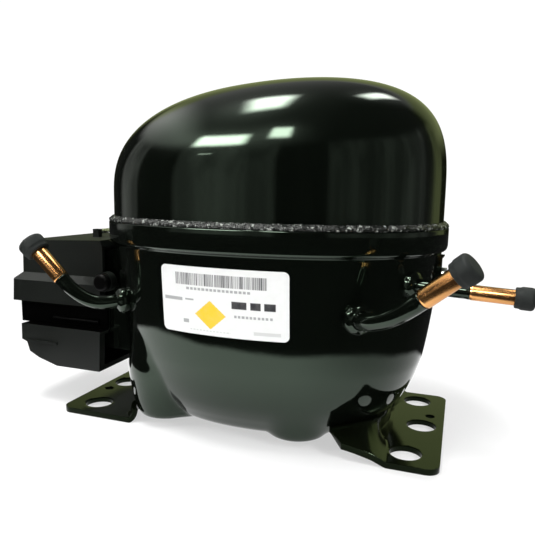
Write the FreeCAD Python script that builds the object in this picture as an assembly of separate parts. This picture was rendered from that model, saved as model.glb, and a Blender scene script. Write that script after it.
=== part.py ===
import FreeCAD, Part
import math
import os

# Hermetic reciprocating compressor. Millimetres. Z = 0 is the underside of the foot
# plates, the origin is the centre of the 170 x 70 foot hole pattern, +X runs along the
# long axis towards the cylinder head, -Y is the side with the rating label.
V = FreeCAD.Vector
os.makedirs("parts", exist_ok=True)

# ---- driving dimensions -------------------------------------------------------
FOOT_SX, FOOT_SY = 170.0, 70.0        # corner hole spacing
FOOT_MID_X = 89.7                     # middle hole, from the pattern centre
FOOT_HOLE_R = 7.5
FOOT_T = 3.0
FOOT_EDGE_X, FOOT_EDGE_Y = 100.8, 48.0
A, B, NEXP = 89.3, 70.0, 2.2          # shell plan semi-axes and superellipse exponent
SX, SY = 5.3, 3.4                     # shell centre from the foot pattern centre
WALL = 3.0
SEAM_Z = 107.8
STRAIGHT_Z = 13.76                    # straight wall above the seam
DOME_H = 69.57                        # seam to dome top
TILT = 5.13                           # dome rise from the middle to the +X side
DOME_M, DOME_M1 = 2.815, 0.3975
RIM_OUT = 2.7
RIM_Z0, RIM_Z1 = 94.6, 106.5
BOWL = [(4.0, 0.60), (5.0, 0.65), (7.0, 0.695), (9.0, 0.722), (11.0, 0.745), (15.0, 0.79), (20.0, 0.834),
        (25.0, 0.865), (29.0, 0.885), (35.0, 0.908), (40.0, 0.924), (57.0, 0.955), (80.0, 0.985), (95.0, 1.0)]
# drawn pockets over the four suspension springs: centre from the shell centre, radius by height
LOBE_XY = [(-47.8, -35.4), (25.7, -35.4), (-47.8, 35.4), (25.7, 35.4)]
LOBE_R = [(4.0, 13.4), (5.0, 15.0), (7.0, 16.2), (10.0, 17.2), (13.0, 18.0), (18.0, 19.0), (24.0, 20.0), (30.0, 20.5),
          (36.0, 20.0), (45.0, 18.6), (55.0, 15.0), (60.0, 12.0)]
LOBE_K = 4.0
CX, CY = -4.0, 3.4                    # crankshaft axis
STROKE, ROD_L, BORE_Z = 22.0, 46.0, 122.0
PISTON_R, BORE_R = 12.97, 13.0
E = STROKE / 2.0
NPT = 48


# ---- helpers ------------------------------------------------------------------
def cyl(p, d, r, h):
    return Part.makeCylinder(r, h, V(*p), V(*d))


def box(x0, x1, y0, y1, z0, z1):
    return Part.makeBox(x1 - x0, y1 - y0, z1 - z0, V(x0, y0, z0))


def rbox(x0, x1, y0, y1, z0, z1, r):
    s = box(x0, x1, y0, y1, z0, z1)
    vert = [e for e in s.Edges if abs(e.Vertexes[0].Z - e.Vertexes[1].Z) > 1e-3]
    return s.makeFillet(r, vert)


def prism(pts, d):
    w = Part.makePolygon([V(*p) for p in pts] + [V(*pts[0])])
    return Part.Face(w).extrude(V(*d))


def unit(phi):
    c, s = math.cos(phi), math.sin(phi)
    return (math.copysign(abs(c) ** (2.0 / NEXP), c), math.copysign(abs(s) ** (2.0 / NEXP), s))


def lerp(tab, z):
    if z <= tab[0][0]:
        return tab[0][1]
    for (z0, s0), (z1, s1) in zip(tab, tab[1:]):
        if z <= z1:
            return s0 + (s1 - s0) * (z - z0) / (z1 - z0)
    return tab[-1][1]


def contour(phi, z):
    """Outer radius of the lower shell from its centre, at an angle and a height."""
    s = lerp(BOWL, z)
    c, n = math.cos(phi), math.sin(phi)
    r = (abs(c / (A * s)) ** NEXP + abs(n / (B * s)) ** NEXP) ** (-1.0 / NEXP)
    if z < 60.0:
        q = lerp(LOBE_R, z)
        for lx, ly in LOBE_XY:
            along, off = lx * c + ly * n, abs(lx * n - ly * c)
            if along > 0:
                e = along + math.sqrt(q * q - off * off) if off < q else along - 3.0 * (off - q)
                h = max(0.0, min(1.0, 0.5 + 0.5 * (e - r) / LOBE_K))
                r = r + (e - r) * h + LOBE_K * h * (1.0 - h)
    return r


def ring_c(z, src, grow):
    pts = []
    for i in range(96):
        ux, uy = unit(2 * math.pi * (i + 0.5) / 96)
        phi = math.atan2(B * uy, A * ux)
        r = contour(phi, src) + grow
        pts.append(V(SX + r * math.cos(phi), SY + r * math.sin(phi), z))
    c = Part.BSplineCurve()
    c.interpolate(Points=pts, PeriodicFlag=True)
    return Part.Wire([c.toShape()])


def bowl_solid(secs, extra=()):
    """secs: (z, height the outline is taken at, growth); extra: (a, b, z) plain ovals above."""
    ws = [ring_c(z, src, g) for z, src, g in secs]
    for a, b, z in extra:
        pts = []
        for i in range(96):
            ux, uy = unit(2 * math.pi * (i + 0.5) / 96)
            pts.append(V(SX + a * ux, SY + b * uy, z))
        c = Part.BSplineCurve()
        c.interpolate(Points=pts, PeriodicFlag=True)
        ws.append(Part.Wire([c.toShape()]))
    return Part.makeLoft(ws, True, True)


def ring(a, b, zf):
    pts = []
    for i in range(NPT):
        ux, uy = unit(2 * math.pi * (i + 0.5) / NPT)
        x, y = a * ux, b * uy
        pts.append(V(SX + x, SY + y, zf(ux, uy)))
    c = Part.BSplineCurve()
    c.interpolate(Points=pts, PeriodicFlag=True)
    return Part.Wire([c.toShape()])


def oval(secs, ruled=False):
    return Part.makeLoft([ring(a, b, (lambda ux, uy, z=z: z)) for a, b, z in secs], True, ruled)


def dome(off, z_low):
    ws = []
    for z in (z_low, SEAM_Z - 3.0, SEAM_Z):
        ws.append(ring(A - off, B - off, lambda ux, uy, z=z: z))
    for z in (SEAM_Z + 5.0, SEAM_Z + 10.0):
        ws.append(ring(A - off, B - off, lambda ux, uy, z=z: z + TILT * ux * (z - SEAM_Z) / DOME_H))
    for zz in (0.0, 0.12, 0.25, 0.4, 0.55, 0.68, 0.78, 0.86, 0.92, 0.96, 0.985, 0.9965):
        pts = []
        for i in range(NPT):
            ux, uy = unit(2 * math.pi * (i + 0.5) / NPT)
            m = DOME_M + DOME_M1 * ux
            r = (1.0 - zz ** m) ** (1.0 / m)
            h = STRAIGHT_Z + zz * (DOME_H - STRAIGHT_Z - off)
            pts.append(V(SX + (A - off) * ux * r, SY + (B - off) * uy * r,
                         SEAM_Z + h + TILT * ux * r * h / DOME_H))
        if zz > 0.99:  # closing ring, laid flat on its own mean plane
            h = sum(p.z for p in pts) / len(pts)
            k = TILT * ((STRAIGHT_Z + zz * (DOME_H - STRAIGHT_Z - off)) / DOME_H) / (A - off)
            pts = [V(p.x, p.y, h + k * (p.x - SX)) for p in pts]
        c = Part.BSplineCurve()
        c.interpolate(Points=pts, PeriodicFlag=True)
        ws.append(Part.Wire([c.toShape()]))
    return Part.makeLoft(ws, True, False)


def bowl_s(z):
    return lerp(BOWL, z)


def tube(pts, r, extend=0.0, n=5):
    """Round bar of radius r lofted along a smooth path through pts."""
    P = [V(*p) for p in pts]
    if extend:
        P = [P[0] + (P[0] - P[1]).normalize() * extend] + P + [P[-1] + (P[-1] - P[-2]).normalize() * extend]
    path = []
    for i in range(len(P) - 1):
        p0, p1, p2, p3 = P[max(0, i - 1)], P[i], P[i + 1], P[min(len(P) - 1, i + 2)]
        m = n if (p2 - p1).Length > 1.5 else 1
        for k in range(m):
            t = k / float(m)
            path.append((p1 * 2 + (p2 - p0) * t + (p0 * 2 - p1 * 5 + p2 * 4 - p3) * t * t
                         + (p1 * 3 - p0 - p2 * 3 + p3) * t ** 3) * 0.5)
    path.append(P[-1])
    ws = []
    x = None
    for i, q in enumerate(path):
        d = (path[min(i + 1, len(path) - 1)] - path[max(i - 1, 0)]).normalize()
        if x is None:
            x = d.cross(V(0, 0, 1))
            if x.Length < 0.1:
                x = d.cross(V(0, 1, 0))
        x = (x - d * x.dot(d)).normalize()
        y = d.cross(x)
        c = Part.Circle(q, d, r)
        c.XAxis = x
        ws.append(Part.Wire([c.toShape()]))
    s = Part.makeLoft(ws, True, True)
    if s.Volume < 0:
        s.reverse()
    return s


def hollow(pts, r, ri):
    return tube(pts, r).cut(tube(pts, ri, 0.6))


def out(shape, name):
    s = shape.removeSplitter() if hasattr(shape, "removeSplitter") else shape
    if not s.isValid():
        s = shape
    sol = s.Solids
    if not s.isValid() or not sol:
        print("BAD", name, s.isValid(), len(sol))
    s = sol[0] if len(sol) == 1 else Part.makeCompound(sol)
    bb = s.BoundBox
    print("%-24s solids %2d vol %9.1f  x %.1f %.1f  y %.1f %.1f  z %.1f %.1f" % (
        name, len(sol), s.Volume, bb.XMin, bb.XMax, bb.YMin, bb.YMax, bb.ZMin, bb.ZMax))
    s.exportStep("parts/" + name + ".step")
    return s


# ---- pressed steel shell ------------------------------------------------------
Z_OUT = [4.0, 4.4, 5.0, 6.0, 7.0, 8.5, 10.0, 12.0, 15.0, 18.0, 21.0, 25.0, 29.0, 33.0, 38.0, 44.0, 50.0, 57.0, 68.0, 80.0, 93.0]
IN_SECS = [(7.0, 4.6, -3.0), (8.0, 5.6, -3.6), (9.5, 7.2, -3.4), (12.0, 10.0, -3.2), (15.0, 13.3, -3.1), (20.0, 19.0, -3.0),
           (25.0, 24.5, -3.0), (29.0, 29.0, -3.0), (35.0, 35.0, -3.0), (42.0, 42.0, -3.0), (50.0, 50.0, -3.0), (57.0, 57.0, -3.0),
           (68.0, 68.0, -3.0), (80.0, 80.0, -3.0), (93.0, 93.0, -3.0)]
bowl_outer = bowl_solid([(z, z, 0.0) for z in Z_OUT], [(A, B, 95.0)])
bowl_cav = bowl_solid(IN_SECS, [(A - WALL, B - WALL, 99.0)])
low_o = bowl_solid([(z, z, 0.0) for z in Z_OUT],
                   [(A - 0.02, B - 0.02, RIM_Z0), (A + 1.5, B + 1.5, RIM_Z0 + 0.5), (A + 2.4, B + 2.4, RIM_Z0 + 1.5),
                    (A + RIM_OUT, B + RIM_OUT, RIM_Z0 + 3.0), (A + RIM_OUT, B + RIM_OUT, RIM_Z1)])
low_i = bowl_solid(IN_SECS, [(A - WALL, B - WALL, 97.4), (A + 0.12, B + 0.12, 97.6), (A + 0.12, B + 0.12, RIM_Z1 + 2.0)])
lower = low_o.cut(low_i)
print("lower", lower.Volume, lower.isValid(), len(lower.Solids))

cover_out = dome(0.0, 98.0)
cover = cover_out.cut(dome(WALL, 97.0))
weld = oval([(A + 2.5, B + 2.5, RIM_Z1 + 0.05), (A + 2.55, B + 2.55, RIM_Z1 + 1.0),
             (A + 1.8, B + 1.8, RIM_Z1 + 2.1), (A + 0.5, B + 0.5, RIM_Z1 + 3.0)], True)
weld = weld.cut(oval([(A + 0.1, B + 0.1, RIM_Z1 - 1.0), (A + 0.1, B + 0.1, RIM_Z1 + 4.0)]))

# ---- tubes: collar, painted elbow, bare copper stub, cap -----------------------
# each: entry point, outward direction, elbow points, stub end, radii
TUBES = {
    "process": dict(
        p=(-61.1, -46.6, 66.0), n=(-0.635, -0.772, 0.0), r=3.6, rs=4.0,
        pts=[(-64.9, -51.0, 65.6), (-68.8, -54.4, 65.6), (-73.0, -56.9, 67.0), (-77.4, -58.7, 69.6),
             (-82.2, -60.0, 73.4), (-86.6, -60.7, 77.8)],
        stub=(-102.1, -61.6, 93.0)),
    "suction": dict(
        p=(63.6, -52.4, 68.5), n=(0.525, -0.851, 0.0), r=3.9, rs=4.2,
        pts=[(66.2, -56.2, 68.7), (69.6, -59.3, 69.3), (74.6, -62.0, 71.0), (80.6, -64.6, 74.2),
             (86.6, -66.7, 78.7), (90.8, -68.0, 82.2)],
        stub=(105.5, -72.2, 94.7)),
    "discharge": dict(
        p=(84.3, -32.8, 82.3), n=(0.831, -0.556, 0.0), r=3.1, rs=3.4,
        pts=[(88.4, -34.9, 82.2), (93.5, -35.9, 82.0), (101.0, -36.6, 81.7), (108.4, -37.0, 81.4)],
        stub=(129.5, -38.2, 80.5)),
}
CAP_OUT = {"process": 2.6, "suction": 1.9, "discharge": 1.5}
CAP_LEN, CAP_WALL = 8.0, 4.5
elbows, stubs, caps, collar_holes = {}, {}, {}, []
collars = None
for key, t in TUBES.items():
    n = V(*t["n"]).normalize()
    p = V(*t["p"])
    r, rs = t["r"], t["rs"]
    start = p - n * 7.0
    pts = [tuple(start), tuple(p + n * 2.0)] + t["pts"]
    d_end = (V(*t["stub"]) - V(*t["pts"][-1])).normalize()
    elbows[key] = hollow(pts, r, r - 1.0)
    e0 = V(*t["pts"][-1]) + d_end * 0.02
    L = (V(*t["stub"]) - e0).Length
    stubs[key] = Part.makeCylinder(rs, L, e0, d_end).cut(Part.makeCylinder(rs - 0.9, L + 2, e0 - d_end, d_end))
    e1 = V(*t["stub"])
    t["axis"] = d_end
    t["end"] = e1
    oc = Part.makeCylinder(rs + CAP_OUT[key], CAP_LEN, e1 - d_end * (CAP_LEN - CAP_WALL), d_end)
    oc = oc.makeFillet(1.2, [e for e in oc.Edges if e.Closed and (e.CenterOfMass - e1).dot(d_end) > 1.0])
    caps[key] = oc.cut(Part.makeCylinder(rs + 0.06, CAP_LEN - CAP_WALL + 1.0 + 0.1,
                                         e1 - d_end * (CAP_LEN - CAP_WALL + 1.0), d_end))
    collar_holes.append(Part.makeCylinder(r + 2.22, 16.0, p - n * 9.0, n))
for h in collar_holes:
    lower = lower.cut(h)
# collar: drawn sleeve through the wall with a brazed bead outside it
wall_solid = bowl_outer
for (key, t), hole in zip(TUBES.items(), collar_holes):
    n = V(*t["n"]).normalize()
    p = V(*t["p"])
    r = t["r"]
    sleeve = Part.makeCylinder(r + 2.2, 6.4, p - n * 4.2, n).cut(Part.makeCylinder(r + 0.05, 20.0, p - n * 9.0, n))
    bead = Part.makeCone(r + 4.0, r + 2.2, 4.2, p - n * 1.8, n).cut(wall_solid).cut(Part.makeCylinder(r + 2.2, 20.0, p - n * 9.0, n))
    bead = sorted(bead.Solids, key=lambda s: -s.Volume)[0]
    one = sleeve.fuse(bead)
    collars = one if collars is None else collars.fuse(one)

# ---- hermetic terminal on the -X side -------------------------------------------
TZ = 62.0
TY = 3.4
lower = lower.cut(cyl((-95, TY, TZ), (1, 0, 0), 17.05, 30))
cup = cyl((-84.5, TY, TZ), (1, 0, 0), 17.0, 9.0).cut(cyl((-82.0, TY, TZ), (1, 0, 0), 14.8, 9.0))
pin_yz = [(TY + 7.5 * math.cos(a), TZ + 7.5 * math.sin(a)) for a in (math.pi / 2, math.pi * 7 / 6, math.pi * 11 / 6)]
pins = glass = None
for y, z in pin_yz:
    cup = cup.cut(cyl((-90, y, z), (1, 0, 0), 3.4, 20))
    g = cyl((-85.3, y, z), (1, 0, 0), 3.38, 4.2).cut(cyl((-90, y, z), (1, 0, 0), 1.62, 20))
    q = cyl((-99.0, y, z), (1, 0, 0), 1.6, 31.0)
    glass = g if glass is None else glass.fuse(g)
    pins = q if pins is None else pins.fuse(q)

# ---- lower spring seats and springs ----------------------------------------------
SPRINGS = [(CX + sx * 37.0, CY + sy * 31.0) for sx in (-1, 1) for sy in (-1, 1)]
S_Z0, S_Z1 = 14.5, 33.0
seats = None
ups = None
springs = None
for x, y in SPRINGS:
    s = cyl((x, y, 5.0), (0, 0, 1), 5.6, 9.4).fuse(cyl((x, y, 12.4), (0, 0, 1), 7.4, 2.0)).fuse(cyl((x, y, 14.0), (0, 0, 1), 4.3, 4.0))
    s = sorted(s.common(bowl_cav).Solids, key=lambda q: -q.Volume)[0]
    seats = s if seats is None else seats.fuse(s)
    u = cyl((x, y, 33.1), (0, 0, 1), 7.4, 1.8).fuse(cyl((x, y, 34.0), (0, 0, 1), 5.2, 3.95)).fuse(cyl((x, y, 29.6), (0, 0, 1), 4.3, 4.0))
    ups = u if ups is None else ups.fuse(u)
    h = Part.makeHelix(3.6, S_Z1 - S_Z0 - 2.4, 6.2)
    h.translate(V(x, y, S_Z0 + 1.2))
    prof = Part.Wire([Part.makeCircle(1.1, V(x + 6.2, y, S_Z0 + 1.2), V(0, 1, 0.092))])
    c = Part.Wire(h).makePipeShell([prof], True, True)
    springs = c if springs is None else Part.makeCompound([springs, c])

# ---- feet ------------------------------------------------------------------------
BEND = [(0.0, 60.0), (9.3, 65.5), (21.3, 72.0), (29.8, 74.6), (39.6, 75.8), (52.0, 76.8)]
SADDLE_R = [(0.0, 9.5), (20.0, 11.5), (30.0, 12.5), (38.0, 12.0), (45.0, 10.0), (49.0, 8.0)]
SADDLE_L = [(0.0, 8.0), (20.0, 8.0), (34.0, 8.0), (49.0, 7.0)]


def foot(sgn):
    cx, cy = sgn * SX, sgn * SY       # the shell centre in this foot's own frame
    turn = 0.0 if sgn > 0 else math.pi
    top = SADDLE_R if sgn > 0 else SADDLE_L

    def rb(phi, z, grow):
        return contour(phi + turn, z) + grow

    pol = sorted((math.atan2(q * y - cy, x - cx), math.hypot(x - cx, q * y - cy)) for y, x in BEND for q in (-1, 1))

    def r3(phi):
        base = rb(phi, 7.5, 3.6)
        return max(base, lerp(pol, phi)) if sgn > 0 else base

    def z_top(phi):
        r = rb(phi, 10.0, 3.1)
        return lerp(top, abs(cy + r * math.sin(phi)))

    def r_out(phi, z):
        zt = z_top(phi)
        t = max(0.0, min(1.0, (z - 3.0) / (zt - 3.0)))
        lin = (1 - t) * r3(phi) + t * rb(phi, zt, 3.15)
        hug = rb(phi, z, 3.15)
        return max(lin, hug)

    lo, hi = math.radians(-50), math.radians(50)
    NP = 41
    phis = [lo + (hi - lo) * k / (NP - 1.0) for k in range(NP)]
    # closed sections: outer surface down, across the bottom, inner surface up
    wires = []
    for f in (0.0, 0.12, 0.25, 0.4, 0.6, 0.8, 1.0):
        o_p, i_p = [], []
        for phi in phis:
            z = 1.0 + f * (18.2 - 1.0)
            r = r_out(phi, max(z, 3.0))
            d = (r_out(phi, max(z, 3.0) + 0.6) - r) / 0.6
            th = min(5.5, 3.0 * math.sqrt(1.0 + d * d))
            ri = max(r - th, rb(phi, z, 0.12))
            ri = min(ri, r - 0.6)
            o_p.append(V(cx + r * math.cos(phi), cy + r * math.sin(phi), z))
            i_p.append(V(cx + ri * math.cos(phi), cy + ri * math.sin(phi), z))
        oc = Part.BSplineCurve()
        oc.interpolate(o_p)
        ic = Part.BSplineCurve()
        ic.interpolate(i_p[::-1])
        wires.append(Part.Wire([oc.toShape(), Part.makeLine(o_p[-1], i_p[-1]), ic.toShape(),
                                Part.makeLine(i_p[0], o_p[0])]))
    wall = Part.makeLoft(wires, True, True)
    yz = [(-48.0, -1)] + [(-min(48.0, y), z) for y, z in top[::-1]] + [(min(48.0, y), z) for y, z in top[1:]] + [(48.0, -1)]
    wall = wall.common(prism([(40, y, z) for y, z in yz], (62, 0, 0)))
    blank = prism([(x, y, -1) for x, y in ((57, -48), (45, -34), (45, 34), (57, 48), (110, 48), (110, -48))], (0, 0, 30))
    wall = wall.common(blank)
    plate = rbox(40, FOOT_EDGE_X, -FOOT_EDGE_Y, FOOT_EDGE_Y, 0, FOOT_T, 6.0)
    ip = [V(cx + (r_out(p, 3.0) - 2.2) * math.cos(p), cy + (r_out(p, 3.0) - 2.2) * math.sin(p), -1) for p in
          [math.radians(-58 + 116.0 * k / 40.0) for k in range(41)]]
    ic = Part.BSplineCurve()
    ic.interpolate(ip)
    cutw = Part.Wire([ic.toShape(), Part.makeLine(ip[-1], V(20, ip[-1].y, -1)),
                      Part.makeLine(V(20, ip[-1].y, -1), V(20, ip[0].y, -1)), Part.makeLine(V(20, ip[0].y, -1), ip[0])])
    plate = plate.cut(Part.Face(cutw).extrude(V(0, 0, 6))).common(blank)
    f = plate.fuse(wall)
    for x, y, r in ((FOOT_SX / 2, FOOT_SY / 2, FOOT_HOLE_R), (FOOT_SX / 2, -FOOT_SY / 2, FOOT_HOLE_R),
                    (FOOT_MID_X, 0, FOOT_HOLE_R), (93.4, 14.0, 2.5)):
        f = f.cut(cyl((x, y, -2), (0, 0, 1), r, 10))
    f = sorted(f.Solids, key=lambda q: -q.Volume)[0]
    if sgn < 0:
        f.rotate(V(0, 0, 0), V(0, 0, 1), 180)
    if f.common(bowl_outer).Volume > 0.001:
        f = sorted(f.cut(bowl_outer).Solids, key=lambda q: -q.Volume)[0]
    return f


foot_r = foot(1)
foot_l = foot(-1)
# ---- rating label, wrapped on the front wall ---------------------------------------
lab_o = oval([(A * bowl_s(z) + 0.35, B * bowl_s(z) + 0.35, z) for z in (40.0, 57.0, 80.0, 95.0)])
lab_i = oval([(A * bowl_s(z) + 0.1, B * bowl_s(z) + 0.1, z) for z in (39.0, 57.0, 80.0, 96.0)])
lc = V(3.6, -80, 73.1)
lw, lh = 62.8, 31.7
blank = Part.makeBox(lw, 40, lh, V(lc.x - lw / 2, lc.y, lc.z - lh / 2))
blank = blank.makeFillet(2.5, [e for e in blank.Edges if abs(e.Vertexes[0].Y - e.Vertexes[1].Y) > 1])
blank.rotate(lc, V(0, 1, 0), 0.2)
label = lab_o.cut(lab_i).common(blank)

# ---- terminal fence, box and electrical parts ----------------------------------------
clear_o = bowl_solid([(z, z, 1.2) for z in (10.0, 20.0, 29.0, 38.0, 48.0, 57.0, 80.0, 93.0)],
                     [(A + RIM_OUT + 1.0, B + RIM_OUT + 1.0, 95.0), (A + RIM_OUT + 1.0, B + RIM_OUT + 1.0, 115.0)])
touch_o = bowl_solid([(z, z, 0.03) for z in Z_OUT[4:]], [(A + 0.03, B + 0.03, 95.0)])
F_Y0, F_Y1, F_Z0, F_Z1 = -30.0, 36.0, 34.0, 90.0
fence = box(-94, -60, F_Y0, F_Y1, F_Z0, F_Z1).cut(box(-100, -50, F_Y0 + 1.6, F_Y1 - 1.6, F_Z0 + 1.6, F_Z1 - 1.6))
fence = fence.cut(touch_o)
fence = sorted(fence.Solids, key=lambda s: -s.Volume)[0]

BX = [(-133.4, 93.6), (-81.0, 95.4), (-79.6, 92.0), (-79.8, 46.0), (-80.8, 44.0), (-81.6, 22.4), (-110.5, 22.4),
      (-122.9, 26.0), (-129.4, 29.2), (-131.2, 34.6), (-134.8, 36.0), (-134.6, 45.2), (-139.6, 45.2), (-139.7, 58.6),
      (-138.8, 71.6), (-134.0, 75.2)]
B_Y0, B_Y1 = -39.0, 45.0


def inset(pts, d):
    n = len(pts)
    res = []
    area = sum(pts[i][0] * pts[(i + 1) % n][1] - pts[(i + 1) % n][0] * pts[i][1] for i in range(n))
    sg = 1.0 if area > 0 else -1.0
    for i in range(n):
        p0, p1, p2 = pts[i - 1], pts[i], pts[(i + 1) % n]
        e1 = (p1[0] - p0[0], p1[1] - p0[1])
        e2 = (p2[0] - p1[0], p2[1] - p1[1])
        l1, l2 = math.hypot(*e1), math.hypot(*e2)
        n1 = (-e1[1] / l1 * sg, e1[0] / l1 * sg)
        n2 = (-e2[1] / l2 * sg, e2[0] / l2 * sg)
        bx, bz = n1[0] + n2[0], n1[1] + n2[1]
        k = d * 2.0 / max(0.3, bx * bx + bz * bz)
        res.append((p1[0] + bx * k, p1[1] + bz * k))
    return res


BAND0, BAND1 = 45.2, 58.7      # finger recess under the ledge
UP_Y = B_Y0 + 2.6              # the upper part stands back from the ledge
SCR_X, SCR_Z = -77.3, 73.2     # cover screw, in an ear at the shell side
body = prism([(x, B_Y0, z) for x, z in BX], (0, B_Y1 - B_Y0, 0))
body = body.cut(box(-150, -50, B_Y0 - 1, B_Y0 + 6.0, BAND0, BAND1))
body = body.cut(prism([(-150, B_Y0 - 1, 100), (-150, B_Y0 - 1, 71.0), (-150, B_Y0, 71.0), (-150, UP_Y, 75.2), (-150, UP_Y, 100)], (100, 0, 0)))
ix = inset(BX, 2.2)
cav = prism([(x, B_Y0 + 2.2, z) for x, z in ix], (0, B_Y1 - B_Y0 - 4.4, 0))
cav = cav.cut(box(-150, -50, B_Y0 - 1, B_Y0 + 8.2, BAND0 - 2.2, BAND1 + 2.2))
cav = cav.cut(box(-150, -50, B_Y0 - 1, UP_Y + 2.2, 69.0, 100))
open_back = box(-90, -60, UP_Y + 2.2, B_Y1 - 2.2, 25.2, 90.5)
open_back = open_back.cut(box(-150, -50, B_Y0 - 1, B_Y0 + 8.2, BAND0 - 2.2, BAND1 + 2.2))
tcover = body.cut(cav).cut(clear_o).cut(open_back)
# pressed bead in the recess and a short raised rib on the lower face
bead = cyl((-116.0, B_Y0 + 6.0, 49.0), (1, 0, 0), 1.6, 31.0)
tcover = tcover.fuse(bead.cut(clear_o))
tcover = tcover.fuse(box(-129.6, -109.5, B_Y0 - 1.0, B_Y0 + 0.2, 34.9, 36.1))
tcover = tcover.fuse(cyl((SCR_X, UP_Y + 2.2, SCR_Z), (0, -1, 0), 5.4, UP_Y + 2.2 - B_Y0).cut(clear_o))
tcover = tcover.cut(box(-145, -60, B_Y0 - 5, B_Y1 + 5, 96.5, 120))
tcover = sorted(tcover.Solids, key=lambda s: -s.Volume)[0]

starter = rbox(-112.5, -86.6, TY - 17.0, TY + 13.0, 52.0, 78.0, 3.0).cut(cyl((-84, TY, TZ), (-1, 0, 0), 17.4, 2.2))
for y, z in pin_yz:
    starter = starter.cut(cyl((-101.0, y, z), (1, 0, 0), 2.0, 30))
starter = starter.fuse(box(-108, -98, TY - 15, TY - 9, 77.5, 84.0))
protector = cyl((-110.0, 28.5, 52.0), (0, 0, 1), 8.0, 22.0).fuse(box(-112, -98.5, 21.5, 33.5, 49.5, 55.0))
clip = box(-103.5, -87.2, -4.5, 8.5, 97.0, 98.2).fuse(cyl((-103.5, -6.0, 97.9), (0, 1, 0), 1.4, 16.0))
clip = clip.fuse(box(-88.2, -87.2, -4.5, 8.5, 97.0, 104.5))
hinge_lugs = box(-105.5, -101.5, -9.6, -6.1, 93.0, 99.4).fuse(box(-105.5, -101.5, 10.1, 13.6, 93.0, 99.4))
hinge_lugs = hinge_lugs.cut(cyl((-103.5, -5.9, 97.9), (0, -1, 0), 1.0, 0.2))
screw = cyl((SCR_X, B_Y0 - 0.02, SCR_Z), (0, -1, 0), 4.8, 3.4)
screw = screw.makeFillet(1.8, [e for e in screw.Edges if e.Closed and e.CenterOfMass.y < B_Y0 - 2])
screw = screw.fuse(cyl((SCR_X, B_Y0 + 3.0, SCR_Z), (0, -1, 0), 1.6, 4.0))
tcover = tcover.cut(cyl((SCR_X, B_Y0 + 6.0, SCR_Z), (0, -1, 0), 1.65, 10.0))
tcover = tcover.fuse(hinge_lugs)
tcover = tcover.cut(cyl((-103.5, -20, 97.9), (0, 1, 0), 1.45, 40.0).common(box(-110, -95, -6.05, 10.05, 90, 100)))

# ---- earthing tab on the +X side --------------------------------------------------------
tab = box(92.0, 95.2, -9.0, 1.0, 78.0, 93.5).fuse(prism([(94.0, -8, 90.0), (99.0, -8, 97.5), (98.0, -8, 98.2), (93.0, -8, 91.5)], (0, 8, 0)))
rim_o = bowl_solid([], [(A + RIM_OUT + 0.05, B + RIM_OUT + 0.05, 93.5), (A + RIM_OUT + 0.05, B + RIM_OUT + 0.05, 108.0)])
tab = tab.cut(touch_o).cut(rim_o)
tab = sorted(tab.Solids, key=lambda s: -s.Volume)[0]
earth_screw = cyl((94.0, -4.0, 84.0), (1, 0, 0), 2.0, 2.0).fuse(cyl((95.3, -4.0, 84.0), (1, 0, 0), 3.4, 2.4))
tab = tab.cut(cyl((90.0, -4.0, 84.0), (1, 0, 0), 2.05, 10))
earth_screw = earth_screw.cut(touch_o)

# ---- motor -------------------------------------------------------------------------------
ST_Z0, ST_Z1, ST_H = 38.0, 83.0, 46.0
core = rbox(CX - ST_H, CX + ST_H, CY - ST_H, CY + ST_H, ST_Z0, ST_Z1, 12.0)
core = core.cut(cyl((CX, CY, ST_Z0 - 1), (0, 0, 1), 26.5, 50))
slot = box(29.0, 38.0, -1.9, 1.9, ST_Z0 - 1, ST_Z1 + 1).fuse(box(25.0, 30.0, -0.9, 0.9, ST_Z0 - 1, ST_Z1 + 1))
bar = box(29.3, 37.7, -1.6, 1.6, ST_Z0 - 1.5, ST_Z1 + 1.5)
slots, bars = [], []
for k in range(24):
    for src, lst in ((slot, slots), (bar, bars)):
        s = src.copy()
        s.rotate(V(0, 0, 0), V(0, 0, 1), 15.0 * k)
        s.translate(V(CX, CY, 0))
        lst.append(s)
core = core.cut(Part.makeCompound(slots))


def end_turn(z0, z1):
    t = cyl((CX, CY, z0), (0, 0, 1), 38.0, z1 - z0)
    far = z0 if z1 <= ST_Z0 else z1
    t = t.makeFillet(4.5, [e for e in t.Edges if e.Closed and abs(e.CenterOfMass.z - far) < 0.1])
    t = t.cut(cyl((CX, CY, z0 - 1), (0, 0, 1), 29.3, z1 - z0 + 2))
    return t


windings = end_turn(24.0, ST_Z0 - 1.0).fuse([end_turn(ST_Z1 + 1.0, 96.5)] + bars)
BOLT_XY = [(CX + sx * 36.5, CY + sy * 36.5) for sx in (-1, 1) for sy in (-1, 1)]
bolts = None
for x, y in BOLT_XY:
    core = core.cut(cyl((x, y, ST_Z0 - 1), (0, 0, 1), 2.8, 50))
    b = cyl((x, y, 36.0), (0, 0, 1), 2.5, 58.0).fuse(Part.makeCylinder(4.6, 3.4, V(x, y, ST_Z0 - 3.5), V(0, 0, 1)))
    bolts = b if bolts is None else bolts.fuse(b)

rotor = cyl((CX, CY, ST_Z0), (0, 0, 1), 26.0, 45.0).cut(cyl((CX, CY, 30), (0, 0, 1), 8.02, 60))
cage = cyl((CX, CY, ST_Z0 - 4.0), (0, 0, 1), 24.5, 3.98).cut(cyl((CX, CY, 30), (0, 0, 1), 15.0, 60))
cage2 = cyl((CX, CY, ST_Z1 + 0.02), (0, 0, 1), 24.5, 2.4).cut(cyl((CX, CY, 30), (0, 0, 1), 15.0, 60))
for k in range(6):
    a = math.radians(60 * k)
    cage = cage.fuse(cyl((CX + 19.5 * math.cos(a), CY + 19.5 * math.sin(a), ST_Z0 - 6.5), (0, 0, 1), 1.6, 3.0))
cage = Part.makeCompound(cage.Solids + cage2.Solids)

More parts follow.
